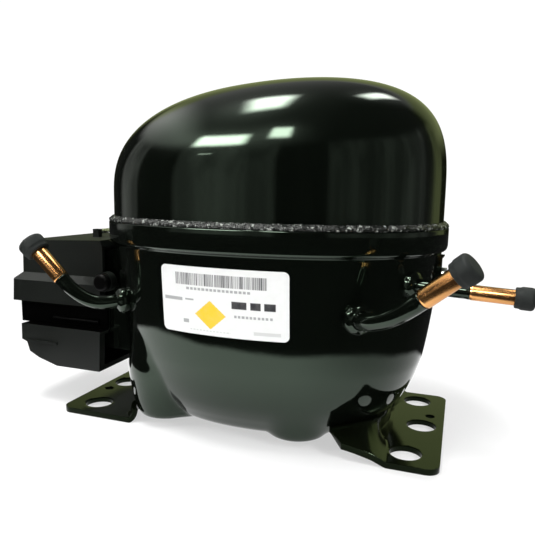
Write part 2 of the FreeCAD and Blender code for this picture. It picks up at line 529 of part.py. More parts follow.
# ---- pump ----------------------------------------------------------------------------------
WASH_Z, WEB_Z0, WEB_Z1 = 107.05, 108.1, 113.7
block = rbox(CX - 44, CX + 44, CY - 44, CY + 44, 98.0, 107.0, 12.0)
for x, y in BOLT_XY:
    block = block.fuse(cyl((x, y, ST_Z1 + 0.02), (0, 0, 1), 7.5, 16.0))
block = block.fuse(cyl((CX, CY, 87.0), (0, 0, 1), 14.0, 15.0))
block = block.fuse(cyl((36.0, CY, BORE_Z), (1, 0, 0), 19.5, 34.0))
block = block.fuse(box(36.0, 62.0, CY - 15, CY + 15, 99.0, 112.0))
block = block.fuse(rbox(62.0, 70.0, CY - 22, CY + 22, 100.0, 144.0, 2.0))
block = block.fuse(box(24.0, 40.0, CY - 15, CY + 15, 99.0, 106.9))
block = block.cut(cyl((30.0, CY, BORE_Z), (1, 0, 0), BORE_R, 50.0))
block = block.cut(cyl((CX, CY, 80), (0, 0, 1), 8.03, 40.0))
for x, y in BOLT_XY:
    block = block.cut(cyl((x, y, 80.0), (0, 0, 1), 2.55, 16.0))
# lightening windows between the main bearing and the legs
for k in (1, 2, 3):
    a = math.radians(90 * k)
    block = block.cut(cyl((CX + 28 * math.cos(a), CY + 28 * math.sin(a), 90.0), (0, 0, 1), 7.0, 30.0))
HB = [(CY + sy * 17.0, BORE_Z + sz * 17.0) for sy in (-1, 1) for sz in (-1, 1)]

gasket = box(70.0, 70.4, CY - 22, CY + 22, 100.0, 144.0).cut(cyl((69, CY, BORE_Z), (1, 0, 0), 13.4, 3))
plate = box(70.42, 73.4, CY - 22, CY + 22, 100.0, 144.0)
SP = (CY - 5.0, BORE_Z)     # suction port
DP = (CY + 5.5, BORE_Z)     # discharge port
plate = plate.cut(cyl((69, SP[0], SP[1]), (1, 0, 0), 3.2, 6)).cut(cyl((69, DP[0], DP[1]), (1, 0, 0), 2.6, 6))
hgasket = box(73.42, 73.8, CY - 22, CY + 22, 100.0, 144.0)
hgasket = hgasket.cut(box(73, 74, CY - 13.0, CY - 1.5, BORE_Z - 13, BORE_Z + 13)).cut(box(73, 74, CY + 0.5, CY + 13.0, BORE_Z - 13, BORE_Z + 13))
head = rbox(73.82, 82.0, CY - 22, CY + 22, 100.0, 144.0, 1.5)
head = head.cut(box(73, 79.5, CY - 13.0, CY - 1.5, BORE_Z - 13, BORE_Z + 13)).cut(box(73, 79.5, CY + 0.5, CY + 13.0, BORE_Z - 13, BORE_Z + 13))
head = head.cut(box(74.9, 78.6, CY - 23, CY - 12, BORE_Z + 8.5, BORE_Z + 12.5))
# suction side: the reed lies on the plate's cylinder face, hinged at its lower end
sreed = box(70.05, 70.35, SP[0] - 4.6, SP[0] + 4.6, BORE_Z - 8.5, BORE_Z + 4.8)
sreed = sreed.fuse(cyl((70.2, SP[0] - 4.6, BORE_Z - 8.5), (0, 1, 0), 0.15, 9.2))
dreed = box(73.43, 73.73, DP[0] - 4.0, DP[0] + 4.0, BORE_Z - 9.5, BORE_Z + 4.2)
dreed = dreed.fuse(cyl((73.58, DP[0] - 4.0, BORE_Z - 9.5), (0, 1, 0), 0.15, 8.0))
stop = box(75.4, 76.4, DP[0] - 4.0, DP[0] + 4.0, BORE_Z - 12.8, BORE_Z + 4.2).fuse(box(73.43, 76.4, DP[0] - 4.0, DP[0] + 4.0, BORE_Z - 12.8, BORE_Z - 9.9))
hbolts = None
for y, z in HB:
    for nm in ("gasket", "plate", "hgasket", "head"):
        globals()[nm] = globals()[nm].cut(cyl((60, y, z), (1, 0, 0), 2.8, 30))
    block = block.cut(cyl((60.5, y, z), (1, 0, 0), 2.55, 20))
    b = cyl((61.0, y, z), (1, 0, 0), 2.5, 22.0)
    hexw = Part.makePolygon([V(82.02, y + 4.3 * math.cos(math.radians(60 * k)), z + 4.3 * math.sin(math.radians(60 * k))) for k in range(7)])
    b = b.fuse(Part.Face(hexw).extrude(V(2.6, 0, 0)))
    hbolts = b if hbolts is None else hbolts.fuse(b)

muff = rbox(22.0, 56.0, -41.0, -19.5, 108.5, 144.0, 5.0)
muff = muff.makeFillet(2.5, [e for e in muff.Edges if e.BoundBox.ZLength < 0.01 and e.CenterOfMass.z > 140])
muff = muff.cut(rbox(24.0, 54.0, -39.0, -21.5, 110.5, 140.0, 4.0))
muff = muff.fuse(box(54.5, 79.4, -26.0, CY - 22.05, 129.6, 135.4))
muff = muff.cut(box(52.0, 77.6, -24.4, -20.2, 131.0, 134.0))
muff = muff.cut(box(74.9, 77.6, -21.0, -15.0, 131.0, 134.0))
muff = muff.fuse(cyl((39.0, -30.0, 107.05), (0, 0, 1), 5.0, 2.5))
muff = muff.fuse(cyl((52.0, -41.0, 118.0), (0, -1, 0), 5.0, 6.0).cut(cyl((52.0, -37.0, 118.0), (0, -1, 0), 3.6, 14.0)))
muff = muff.cut(cyl((52.0, -37.5, 118.0), (0, -1, 0), 3.6, 5.0))
dmuff = cyl((27.0, 36.5, 107.05), (0, 0, 1), 10.5, 22.0)
dmuff = dmuff.makeFillet(4.0, [e for e in dmuff.Edges if e.Closed and e.CenterOfMass.z > 120])
dmuff = dmuff.cut(cyl((27.0, 36.5, 108.5), (0, 0, 1), 9.0, 15.0))
loop_pts = [(37.8, 36.5, 118.0), (50.0, 38.0, 117.0), (60.0, 39.5, 108.0), (64.0, 38.0, 96.0), (68.5, 28.0, 90.0), (72.5, 12.0, 92.0),
            (73.0, -4.0, 86.0), (73.0, -16.0, 82.6), (74.8, -25.6, 82.3)]
loop = hollow(loop_pts, 2.0, 1.3)

shaft = cyl((CX, CY, 26.0), (0, 0, 1), 8.0, 82.3)
web = cyl((CX, CY, WEB_Z0), (0, 0, 1), 12.5, WEB_Z1 - WEB_Z0)
web = web.fuse(cyl((CX + E, CY, WEB_Z0), (0, 0, 1), 9.5, WEB_Z1 - WEB_Z0))
cw = cyl((CX, CY, WEB_Z0), (0, 0, 1), 22.0, WEB_Z1 - WEB_Z0).common(box(CX - 30, CX - 3.0, CY - 30, CY + 30, 100, 120))
shaft = shaft.fuse(web).fuse(cw)
shaft = shaft.cut(cyl((CX, CY, 20.0), (0, 0, 1), 4.6, 24.0))
shaft = shaft.cut(cyl((CX, CY, 40.0), (0, 0, 1), 1.6, 66.0))
shaft = shaft.cut(cyl((CX + 3.0, CY, 90.0), (0, 0, 1), 1.2, 30.0))
washer = cyl((CX, CY, WASH_Z), (0, 0, 1), 13.0, 1.0).cut(cyl((CX, CY, 100), (0, 0, 1), 8.1, 20))
pick = cyl((CX, CY, 20.0), (0, 0, 1), 4.55, 20.0).fuse(Part.makeCone(2.4, 4.55, 8.0, V(CX, CY, 12.2), V(0, 0, 1)))
pick = pick.cut(cyl((CX, CY, 20.2), (0, 0, 1), 3.8, 30)).cut(Part.makeCone(1.65, 3.8, 8.0, V(CX, CY, 12.2), V(0, 0, 1))).cut(cyl((CX, CY, 10), (0, 0, 1), 1.65, 6))

PX = CX + E + ROD_L         # wrist pin at top dead centre
piston = cyl((43.0, CY, BORE_Z), (1, 0, 0), PISTON_R, 26.6)
piston = piston.cut(cyl((42.0, CY, BORE_Z), (1, 0, 0), 10.0, 19.5)).cut(cyl((PX, CY, BORE_Z - 20), (0, 0, 1), 4.05, 40))
for gx in (62.8, 65.6):
    piston = piston.cut(cyl((gx, CY, BORE_Z), (1, 0, 0), 14.0, 0.8).cut(cyl((gx - 1, CY, BORE_Z), (1, 0, 0), 12.4, 3)))
wrist = cyl((PX, CY, BORE_Z - 12.0), (0, 0, 1), 4.0, 24.0).cut(cyl((PX, CY, BORE_Z - 14), (0, 0, 1), 2.2, 30))
rod = cyl((PX, CY, BORE_Z - 5.0), (0, 0, 1), 7.2, 10.0).fuse(cyl((CX + E, CY, BORE_Z - 6.5), (0, 0, 1), 10.5, 13.0))
rod = rod.fuse(box(CX + E, PX, CY - 3.6, CY + 3.6, BORE_Z - 3.5, BORE_Z + 3.5))
rod = rod.cut(cyl((PX, CY, BORE_Z - 20), (0, 0, 1), 4.05, 40)).cut(cyl((CX + E, CY, BORE_Z - 20), (0, 0, 1), 6.02, 40))
crank_pin = cyl((CX + E, CY, 114.0), (0, 0, 1), 6.0, 15.6).cut(cyl((CX + E, CY, 118.0), (0, 0, 1), 1.4, 14.0))
crank_pin = crank_pin.makeFillet(0.8, [e for e in crank_pin.Edges if e.Closed and abs(e.CenterOfMass.z - 129.6) < 0.1 and e.BoundBox.XLength > 8])

conn = rbox(-73.8, -64.5, TY - 13.0, TY + 13.0, TZ - 12.0, TZ + 13.0, 2.0)
for y, z in pin_yz:
    conn = conn.cut(cyl((-90, y, z), (1, 0, 0), 1.75, 24.0))
lead_start = [(-45.0, CY + dy, 88.5) for dy in (-6.0, 0.0, 6.0)]
leads = None
for (x, y, z), (py, pz) in zip([(-42.5, CY - 6, 90.0), (-43.0, CY, 90.0), (-42.5, CY + 6, 90.0)], [(pin_yz[1][0], 76.0), (TY, 78.5), (pin_yz[2][0], 76.0)]):
    w = tube([(x, y, z), (-50.0, y, 94.0), (-57.0, y, 93.0), (-61.0, (y + py) / 2, 86.0), (-62.0, py, pz)], 1.2)
    leads = w if leads is None else leads.fuse(w)

# ---- write -----------------------------------------------------------------------------------
ups = ups.cut(bolts)
for key in TUBES:
    elbows[key] = elbows[key].cut(stubs[key])
out(lower, "lower_shell")
out(cover, "upper_cover")
out(weld, "seam_weld")
out(foot_r, "foot_right")
out(foot_l, "foot_left")
out(seats, "lower_spring_seats")
out(springs, "suspension_springs")
out(ups, "upper_spring_seats")
out(collars, "tube_collars")
for key in TUBES:
    out(elbows[key], key + "_elbow")
    out(stubs[key], key + "_stub")
    out(caps[key], key + "_cap")
out(cup, "terminal_cup")
out(glass, "terminal_glass")
out(pins, "terminal_pins")
out(fence, "terminal_fence")
out(tcover, "terminal_cover")
out(clip, "cover_latch")
out(screw, "cover_screw")
out(starter, "ptc_starter")
out(protector, "overload_protector")
out(tab, "earth_tab")
out(earth_screw, "earth_screw")
out(label, "rating_label")
out(core, "stator_core")
out(windings, "stator_windings")
out(bolts, "stator_bolts")
out(rotor, "rotor_core")
out(cage, "rotor_cage")
out(block, "cylinder_block")
out(gasket, "cylinder_gasket")
out(plate, "valve_plate")
out(hgasket, "head_gasket")
out(head, "cylinder_head")
out(hbolts, "head_bolts")
out(sreed, "suction_reed")
out(dreed, "discharge_reed")
out(stop, "reed_stop")
out(muff, "suction_muffler")
out(dmuff, "discharge_muffler")
out(loop, "discharge_loop")
out(shaft, "crankshaft")
out(washer, "thrust_washer")
out(pick, "oil_pickup")
out(piston, "piston")
out(wrist, "wrist_pin")
out(rod, "connecting_rod")
out(crank_pin, "crank_pin")
out(conn, "lead_connector")
out(leads, "motor_leads")
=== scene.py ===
"""Hermetic refrigeration compressor: black enamelled shell on two feet, with three capped tubes.

Z is up and the feet stand on z = 0. The label faces the front (-Y); the suction and
discharge tubes leave on the right (+X), the process tube on the left (-X).
Shapes are in millimetres; modifiers, textures and lights are in metres.
"""
import bpy
import bmesh
import math
import random
from mathutils import Vector, Matrix, noise

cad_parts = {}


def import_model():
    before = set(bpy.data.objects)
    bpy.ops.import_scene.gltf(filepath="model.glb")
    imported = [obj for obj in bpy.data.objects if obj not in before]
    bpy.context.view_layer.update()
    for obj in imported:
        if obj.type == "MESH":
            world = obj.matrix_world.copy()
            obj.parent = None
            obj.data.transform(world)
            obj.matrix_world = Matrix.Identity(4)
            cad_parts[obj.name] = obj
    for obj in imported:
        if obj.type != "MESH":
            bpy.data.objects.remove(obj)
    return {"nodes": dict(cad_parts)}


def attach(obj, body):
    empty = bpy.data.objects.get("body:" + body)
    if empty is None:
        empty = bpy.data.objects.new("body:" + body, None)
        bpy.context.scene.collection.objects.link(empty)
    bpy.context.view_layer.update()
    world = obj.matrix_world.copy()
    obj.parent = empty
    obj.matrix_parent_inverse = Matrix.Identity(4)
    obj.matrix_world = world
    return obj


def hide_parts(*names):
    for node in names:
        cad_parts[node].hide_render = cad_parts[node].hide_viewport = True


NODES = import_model()["nodes"]
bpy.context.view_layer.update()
MM = 0.001
random.seed(7)

# ------------------------------------------------------------------ shell dimensions
# Outline seen from above: a superellipse
HALF_X, HALF_Y, OUTLINE_POWER = 89.3, 70.0, 2.2
CENTRE_X, CENTRE_Y = 5.3, 3.4
WALL = 3.0

# Upper cover, heights above the seam; the dome leans up towards +X
SEAM_Z = 107.8
COVER_STRAIGHT = 13.76
COVER_HEIGHT = 69.57
COVER_TILT = 5.13
DOME_POWER, DOME_POWER_SLOPE = 2.815, 0.3975  # roundness at mid length, and its change along X

# Bowl of the lower shell: z, fraction of the full outline
BOWL = [
    (4.0, 0.60), (5.0, 0.65), (7.0, 0.695), (9.0, 0.722), (11.0, 0.745), (15.0, 0.79),
    (20.0, 0.834), (25.0, 0.865), (29.0, 0.885), (35.0, 0.908), (40.0, 0.924),
    (57.0, 0.955), (80.0, 0.985), (95.0, 1.0),
]
# Four drawn spring pockets, placed from the shell centre
POCKET_CENTRES = [(x, y) for y in (-35.4, 35.4) for x in (-47.8, 25.7)]
POCKET_TOP = 60.0
POCKET_BLEND = 4.0
# z, pocket radius
POCKET_RADII = [
    (4.0, 13.4), (5.0, 15.0), (7.0, 16.2), (10.0, 17.2), (13.0, 18.0), (18.0, 19.0),
    (24.0, 20.0), (30.0, 20.5), (36.0, 20.0), (45.0, 18.6), (55.0, 15.0), (60.0, 12.0),
]


# ------------------------------------------------------------------ shader graph helpers
class Signal:
    """A node output; arithmetic on it adds math nodes."""

    def __init__(self, graph, socket):
        self.graph = graph
        self.socket = socket

    def __add__(self, other):
        return self.graph.math("ADD", self, other)

    def __sub__(self, other):
        return self.graph.math("SUBTRACT", self, other)

    def __rsub__(self, other):
        return self.graph.math("SUBTRACT", other, self)

    def __mul__(self, other):
        return self.graph.math("MULTIPLY", self, other)

    def __truediv__(self, other):
        return self.graph.math("DIVIDE", self, other)

    def __pow__(self, other):
        return self.graph.math("POWER", self, other)

    def __abs__(self):
        return self.graph.math("ABSOLUTE", self)


class Graph:
    def __init__(self, tree):
        self.tree = tree
        tree.nodes.clear()

    def feed(self, socket, value):
        """Links a signal to an input, or sets the input to a constant."""
        if isinstance(value, Signal):
            self.tree.links.new(value.socket, socket)
        elif isinstance(value, tuple) and socket.type == "RGBA":
            socket.default_value = (*value, 1)
        else:
            socket.default_value = value

    def add(self, kind, **inputs):
        """Adds a node; an underscore in an input's name stands for a space."""
        node = self.tree.nodes.new("ShaderNode" + kind)
        for name, value in inputs.items():
            self.feed(node.inputs[name.replace("_", " ")], value)
        return node

    def value(self, kind, output=0, **inputs):
        return Signal(self, self.add(kind, **inputs).outputs[output])

    def math(self, operation, *values):
        node = self.add("Math")
        node.operation = operation
        for socket, value in zip(node.inputs, values):
            self.feed(socket, value)
        return Signal(self, node.outputs[0])

    def separate(self, vector):
        node = self.add("SeparateXYZ", Vector=vector)
        return [Signal(self, socket) for socket in node.outputs]

    def remap(self, value, to, over=(0.0, 1.0)):
        return self.value("MapRange", Value=value, From_Min=over[0], From_Max=over[1],
                          To_Min=to[0], To_Max=to[1])

    def step(self, value, start, end):
        """Smooth 0..1 as value goes from start to end."""
        node = self.add("MapRange", Value=value, From_Min=start, From_Max=end)
        node.interpolation_type = "SMOOTHSTEP"
        return Signal(self, node.outputs[0])

    def band(self, value, low, high, soft):
        """1 between low and high, with edges softened by soft each way."""
        rise = self.step(value, low - soft, low + soft)
        return rise * (1.0 - self.step(value, high - soft, high + soft))

    def mix(self, factor, color_a, color_b):
        node = self.add("Mix")
        node.data_type = "RGBA"
        for index, value in ((0, factor), (6, color_a), (7, color_b)):
            self.feed(node.inputs[index], value)
        return Signal(self, node.outputs[2])

    def mix_shader(self, factor, shader_a, shader_b):
        node = self.add("MixShader")
        for socket, value in zip(node.inputs, (factor, shader_a, shader_b)):
            self.feed(socket, value)
        return Signal(self, node.outputs[0])


class Material(Graph):
    """A Principled material whose textures use object coordinates."""

    def __init__(self, name, color, rough, metal=0.0, coat=0.0, coat_rough=0.05, spec=0.5):
        self.mat = bpy.data.materials.new(name)
        self.mat.use_nodes = True
        super().__init__(self.mat.node_tree)
        self.output = self.add("OutputMaterial")
        self.bsdf = self.add("BsdfPrincipled", Base_Color=color, Roughness=rough, Metallic=metal,
                             Coat_Weight=coat, Coat_Roughness=coat_rough, Specular_IOR_Level=spec)
        self.surface = Signal(self, self.bsdf.outputs[0])
        self.feed(self.output.inputs[0], self.surface)
        self.object_coord = self.value("TexCoord", output="Object")
        self.normal = None

    def coord(self, stretch=(1, 1, 1)):
        return self.value("Mapping", Scale=stretch, Vector=self.object_coord)

    def noise(self, scale, detail=3.0, rough=0.5, stretch=(1, 1, 1)):
        return self.value("TexNoise", Scale=scale, Detail=detail, Roughness=rough,
                          Vector=self.coord(stretch))

    def voronoi(self, scale):
        return self.value("TexVoronoi", Scale=scale, Vector=self.coord())

    def wave(self, scale, direction, distortion=0.0):
        node = self.add("TexWave", Scale=scale, Distortion=distortion, Vector=self.coord())
        node.bands_direction = direction
        return Signal(self, node.outputs["Fac"])

    def position(self):
        return self.separate(self.value("NewGeometry", output="Position"))

    def set(self, input_name, value):
        self.feed(self.bsdf.inputs[input_name], value)

    def color(self, value):
        self.set("Base Color", value)

    def rough(self, value, to, over=(0.0, 1.0)):
        self.set("Roughness", self.remap(value, to=to, over=over))

    def bump(self, height, strength, distance):
        """Adds a bump on top of those already there."""
        inputs = dict(Strength=strength, Distance=distance, Height=height)
        if self.normal is not None:
            inputs["Normal"] = self.normal
        self.normal = self.value("Bump", **inputs)
        self.set("Normal", self.normal)


# ------------------------------------------------------------------ materials
MIDDLE = (0.3, 0.7)  # the part of the noise range that roughness follows


def enamel(name, color_a, color_b, rough, peel, tint):
    """Glossy paint with a coarse and a fine orange peel."""
    m = Material(name, color_a, rough)
    m.color(m.mix(m.noise(scale=14, detail=4), color_a, color_b))
    m.rough(m.noise(scale=40, detail=3), to=(rough * 0.8, rough * 1.4), over=MIDDLE)
    m.bump(m.noise(scale=60, detail=2, rough=0.4), strength=peel, distance=0.0010)
    m.bump(m.noise(scale=340, detail=2, rough=0.4), strength=peel * 0.8, distance=0.0003)
    m.set("Specular Tint", tint)
    m.set("IOR", 1.5)
    return m


def foot_enamel():
    """The shell's black enamel with a painted olive sheen in its colour and reflection tint; its
    shine is cut where it does not face up, a painted shade on the edges and saddle walls.
    """
    # painted olive sheen: the base colours and the reflection tint are olive
    m = enamel("foot_enamel", (0.0018, 0.0026, 0.0011), (0.0032, 0.0043, 0.0019),
               rough=0.11, peel=0.05, tint=(0.7, 1.0, 0.6))
    # painted shade: the shine is cut on faces that do not face up
    normal_z = m.separate(m.value("NewGeometry", output="True Normal"))[2]
    m.set("Specular IOR Level", m.remap(normal_z, to=(0.08, 0.5), over=(0.25, 0.6)))
    return m


def weld_bead():
    m = Material("weld_bead", (0.006, 0.007, 0.006), rough=0.14)
    cells = m.voronoi(scale=620)
    grain = m.noise(scale=420, detail=4, rough=0.7)
    # pale flecks in the colour are painted glints off the bead
    glint_flecks = m.remap(grain, to=(0.0, 1.0), over=(0.55, 0.64))
    m.color(m.mix(glint_flecks, (0.004, 0.005, 0.004), (0.34, 0.36, 0.33)))
    m.rough(grain, to=(0.10, 0.34))
    m.bump(grain, strength=1.0, distance=0.0010)
    m.bump(cells, strength=0.6, distance=0.0007)
    return m


def copper():
    m = Material("copper", (0.74, 0.38, 0.2), rough=0.3, metal=1.0)
    stain = m.noise(scale=60, detail=4, rough=0.55)
    m.color(m.mix(m.remap(stain, to=(0, 1), over=(0.3, 0.75)),
                  (0.78, 0.40, 0.15), (0.66, 0.31, 0.11)))
    grain = m.noise(scale=160, detail=3, rough=0.6)
    m.rough(grain, to=(0.22, 0.27), over=MIDDLE)
    m.bump(grain, strength=0.006, distance=0.0002)
    return m


def cap_rubber():
    m = Material("cap_rubber", (0.055, 0.06, 0.06), rough=0.62, spec=0.25)
    grain = m.noise(scale=160, detail=4, rough=0.6)
    m.color(m.mix(grain, (0.008, 0.0096, 0.009), (0.017, 0.0195, 0.0185)))
    m.rough(grain, to=(0.5, 0.8))
    m.bump(m.noise(scale=900, detail=2), strength=0.25, distance=0.0002)
    return m


def box_plastic():
    """Terminal box plastic; the finger recess is painted near black with almost no shine, a painted
    shade.
    """
    recess_y, recess_z = (-0.0388, -0.0315), (0.0449, 0.0588)

    def between(value, limits):
        return m.math("GREATER_THAN", value, limits[0]) * m.math("LESS_THAN", value, limits[1])

    m = Material("box_plastic", (0.014, 0.015, 0.014), rough=0.42, spec=0.2)
    grain = m.noise(scale=60, detail=4, rough=0.55)
    x, y, z = m.position()
    # mask of the recess, where the painted shade goes: near black colour and almost no shine
    recess = between(z, recess_z) * between(y, recess_y)
    face = m.mix(grain, (0.0036, 0.0046, 0.0038), (0.0062, 0.0075, 0.0062))
    m.color(m.mix(recess, face, (0.0004, 0.0004, 0.0004)))
    m.rough(grain, to=(0.34, 0.55))
    m.set("Specular IOR Level", m.remap(recess, to=(0.2, 0.02)))
    m.bump(m.voronoi(scale=1500), strength=0.18, distance=0.00012)
    m.bump(m.noise(scale=120, detail=2), strength=0.05, distance=0.0004)
    return m


def screw_black():
    m = Material("screw_black", (0.001, 0.001, 0.001), rough=0.4, spec=0.08)
    m.color(m.mix(m.noise(scale=90, detail=3), (0.0007, 0.0007, 0.0007), (0.0016, 0.0015, 0.0014)))
    m.bump(m.noise(scale=400, detail=2), strength=0.05, distance=0.0001)
    return m


def metal(name, color_a, color_b, rough, scale, stretch=(1, 1, 1), metallic=1.0, cast=False):
    """Bare metal; rough is a range, and cast adds a sand-cast skin."""
    m = Material(name, color_a, sum(rough) / 2, metal=metallic)
    grain = m.noise(scale=scale, detail=4, rough=0.6, stretch=stretch)
    m.color(m.mix(grain, color_a, color_b))
    m.rough(grain, to=rough, over=MIDDLE)
    m.bump(grain, strength=0.12, distance=0.0002)
    if cast:
        m.bump(m.noise(scale=900, detail=3, rough=0.7), strength=0.5, distance=0.0004)
    return m


def laminations():
    m = Material("laminations", (0.2, 0.205, 0.22), rough=0.4, metal=0.9)
    sheets = m.wave(scale=620, direction="Z")
    m.color(m.mix(sheets, (0.10, 0.105, 0.12), (0.30, 0.31, 0.33)))
    m.rough(m.noise(scale=120, detail=3), to=(0.35, 0.55))
    m.bump(sheets, strength=0.6, distance=0.0003)
    return m


def magnet_wire():
    m = Material("magnet_wire", (0.42, 0.12, 0.03), rough=0.28, metal=0.55, coat=0.6)
    strands = m.wave(scale=260, direction="DIAGONAL", distortion=3.0)
    m.color(m.mix(strands, (0.22, 0.055, 0.012), (0.60, 0.22, 0.07)))
    m.bump(strands, strength=0.8, distance=0.0006)
    return m


def gasket_fibre():
    m = Material("gasket_fibre", (0.03, 0.045, 0.035), rough=0.7)
    fibre = m.noise(scale=500, detail=4, rough=0.7)
    m.color(m.mix(fibre, (0.02, 0.03, 0.025), (0.07, 0.09, 0.08)))
    m.bump(fibre, strength=0.3, distance=0.0002)
    return m


def plastic(name, color_a, color_b, rough=0.45):
    m = Material(name, color_a, rough)
    mottle = m.noise(scale=50, detail=3)
    m.color(m.mix(mottle, color_a, color_b))
    m.rough(mottle, to=(rough * 0.85, rough * 1.2), over=MIDDLE)
    m.bump(m.noise(scale=1100, detail=2), strength=0.14, distance=0.0001)
    return m


def bead_glass():
    m = Material("bead_glass", (0.03, 0.07, 0.09), rough=0.12, coat=0.6)
    m.color(m.mix(m.noise(scale=600, detail=3), (0.02, 0.05, 0.07), (0.06, 0.12, 0.14)))
    return m


MATERIALS = {key: built.mat for key, built in {
    "enamel": enamel("black_enamel", (0.0009, 0.0013, 0.0009), (0.0016, 0.0022, 0.0015),
                     rough=0.055, peel=0.03, tint=(0.76, 1.0, 0.78)),
    "foot": foot_enamel(),
    "weld": weld_bead(),
    "copper": copper(),
    "rubber": cap_rubber(),
    "box": box_plastic(),
    "screw_black": screw_black(),
    "zinc": metal("zinc_plate", (0.72, 0.73, 0.70), (0.55, 0.57, 0.55),
                  rough=(0.22, 0.38), scale=120),
    "steel": metal("ground_steel", (0.60, 0.61, 0.62), (0.48, 0.49, 0.50),
                   rough=(0.16, 0.3), scale=500, stretch=(1, 1, 0.1)),
    "spring": metal("spring_steel", (0.36, 0.37, 0.38), (0.22, 0.22, 0.23),
                    rough=(0.25, 0.42), scale=260),
    "tube_steel": metal("drawn_steel", (0.42, 0.42, 0.41), (0.30, 0.30, 0.29),
                        rough=(0.3, 0.45), scale=240),
    "pin": metal("pin_alloy", (0.64, 0.61, 0.55), (0.50, 0.47, 0.42),
                 rough=(0.2, 0.35), scale=400),
    "alu": metal("cast_aluminium", (0.70, 0.71, 0.72), (0.56, 0.57, 0.58),
                 rough=(0.34, 0.5), scale=200, cast=True),
    "iron": metal("cast_iron", (0.20, 0.20, 0.205), (0.11, 0.11, 0.115),
                  rough=(0.45, 0.65), scale=160, metallic=0.85, cast=True),
    "reed": metal("reed_strip", (0.66, 0.67, 0.7), (0.5, 0.51, 0.56),
                  rough=(0.12, 0.22), scale=600, stretch=(1, 1, 0.1)),
    "rotor": metal("rotor_steel", (0.33, 0.34, 0.36), (0.22, 0.23, 0.25),
                   rough=(0.28, 0.42), scale=700, stretch=(0.1, 0.1, 1)),
    "lamination": laminations(),
    "winding": magnet_wire(),
    "gasket": gasket_fibre(),
    "nylon": plastic("natural_nylon", (0.68, 0.65, 0.56), (0.76, 0.73, 0.64)),
    "pbt": plastic("muffler_pbt", (0.60, 0.56, 0.46), (0.68, 0.64, 0.54)),
    "starter": plastic("starter_thermoset", (0.16, 0.15, 0.13), (0.2, 0.19, 0.165), rough=0.5),
    "protector": plastic("protector_phenolic", (0.016, 0.016, 0.018), (0.03, 0.03, 0.033),
                         rough=0.22),
    "lead": plastic("lead_sleeve", (0.50, 0.47, 0.40), (0.60, 0.57, 0.5), rough=0.55),
    "glass": bead_glass(),
}.items()}

# ------------------------------------------------------------------ CAD pieces kept as they are
PAINTED = {
    "steel": ("lower_spring_seats", "stator_bolts", "valve_plate", "head_bolts", "reed_stop",
              "thrust_washer", "piston", "wrist_pin", "crank_pin"),
    "spring": ("suspension_springs",),
    "nylon": ("upper_spring_seats", "lead_connector"),
    "tube_steel": ("terminal_cup", "discharge_muffler", "discharge_loop", "oil_pickup"),
    "glass": ("terminal_glass",),
    "pin": ("terminal_pins",),
    "enamel": ("terminal_fence", "earth_tab"),
    "zinc": ("cover_latch", "earth_screw"),
    "screw_black": ("cover_screw",),
    "starter": ("ptc_starter",),
    "protector": ("overload_protector",),
    "lamination": ("stator_core",),
    "winding": ("stator_windings",),
    "rotor": ("rotor_core",),
    "alu": ("rotor_cage", "cylinder_head", "connecting_rod"),
    "iron": ("cylinder_block", "crankshaft"),
    "gasket": ("cylinder_gasket", "head_gasket"),
    "reed": ("suction_reed", "discharge_reed"),
    "pbt": ("suction_muffler",),
    "lead": ("motor_leads",),
    "box": ("terminal_cover",),
}
# piece: bevel width in metres, least angle that is bevelled
BEVELLED = {
    "terminal_cover": (0.0006, 35),
    "cover_latch": (0.0002, 40),
    "ptc_starter": (0.0005, 40),
    "earth_tab": (0.0003, 40),
    "terminal_fence": (0.0003, 40),
}


def paint(obj, material):
    if not obj.material_slots:
        obj.data.materials.append(material)
    for slot in obj.material_slots:
        slot.material = material


def add_bevel(obj, width, angle):
    bevel = obj.modifiers.new("edge", "BEVEL")
    bevel.width = width
    bevel.segments = 2
    bevel.limit_method = "ANGLE"
    bevel.angle_limit = math.radians(angle)


for key, pieces in PAINTED.items():
    for piece in pieces:
        paint(NODES[piece], MATERIALS[key])
for piece, (width, angle) in BEVELLED.items():
    add_bevel(NODES[piece], width, angle)


# ------------------------------------------------------------------ mesh helpers
def add_object(name, mesh):
    obj = bpy.data.objects.new(name, mesh)
    bpy.context.scene.collection.objects.link(obj)
    return obj


def bmesh_object(name, bm):
    mesh = bpy.data.meshes.new(name)
    bm.to_mesh(mesh)
    bm.free()
    return add_object(name, mesh)


def remove_object(obj):
    mesh = obj.data
    bpy.data.objects.remove(obj)
    bpy.data.meshes.remove(mesh)


def mesh_object(name, verts, faces, material):
    """Smooth object from points in mm."""
    mesh = bpy.data.meshes.new(name)
    mesh.from_pydata([(x * MM, y * MM, z * MM) for x, y, z in verts], [], faces)
    mesh.validate()
    mesh.update()
    obj = add_object(name, mesh)
    mesh.materials.append(material)
    for polygon in mesh.polygons:
        polygon.use_smooth = True
    return obj


def centroid(ring):
    return tuple(sum(point[axis] for point in ring) / len(ring) for axis in range(3))


def rings_object(name, rings, material, capped=True):
    """Quads between equal rings; capped closes both ends with fans."""
    count = len(rings[0])
    verts = [point for ring in rings for point in ring]
    faces = []
    for j in range(len(rings) - 1):
        low, high = j * count, (j + 1) * count
        for i in range(count):
            k = (i + 1) % count
            faces.append((low + i, low + k, high + k, high + i))
    if capped:
        verts.append(centroid(rings[0]))
        for i in range(count):
            faces.append((len(verts) - 1, (i + 1) % count, i))
        verts.append(centroid(rings[-1]))
        last = (len(rings) - 1) * count
        for i in range(count):
            faces.append((len(verts) - 1, last + i, last + (i + 1) % count))
    return mesh_object(name, verts, faces, material)


def apply_modifiers(obj):
    depsgraph = bpy.context.evaluated_depsgraph_get()
    depsgraph.update()
    mesh = bpy.data.meshes.new_from_object(obj.evaluated_get(depsgraph), depsgraph=depsgraph)
    old = obj.data
    obj.modifiers.clear()
    obj.data = mesh
    bpy.data.meshes.remove(old)


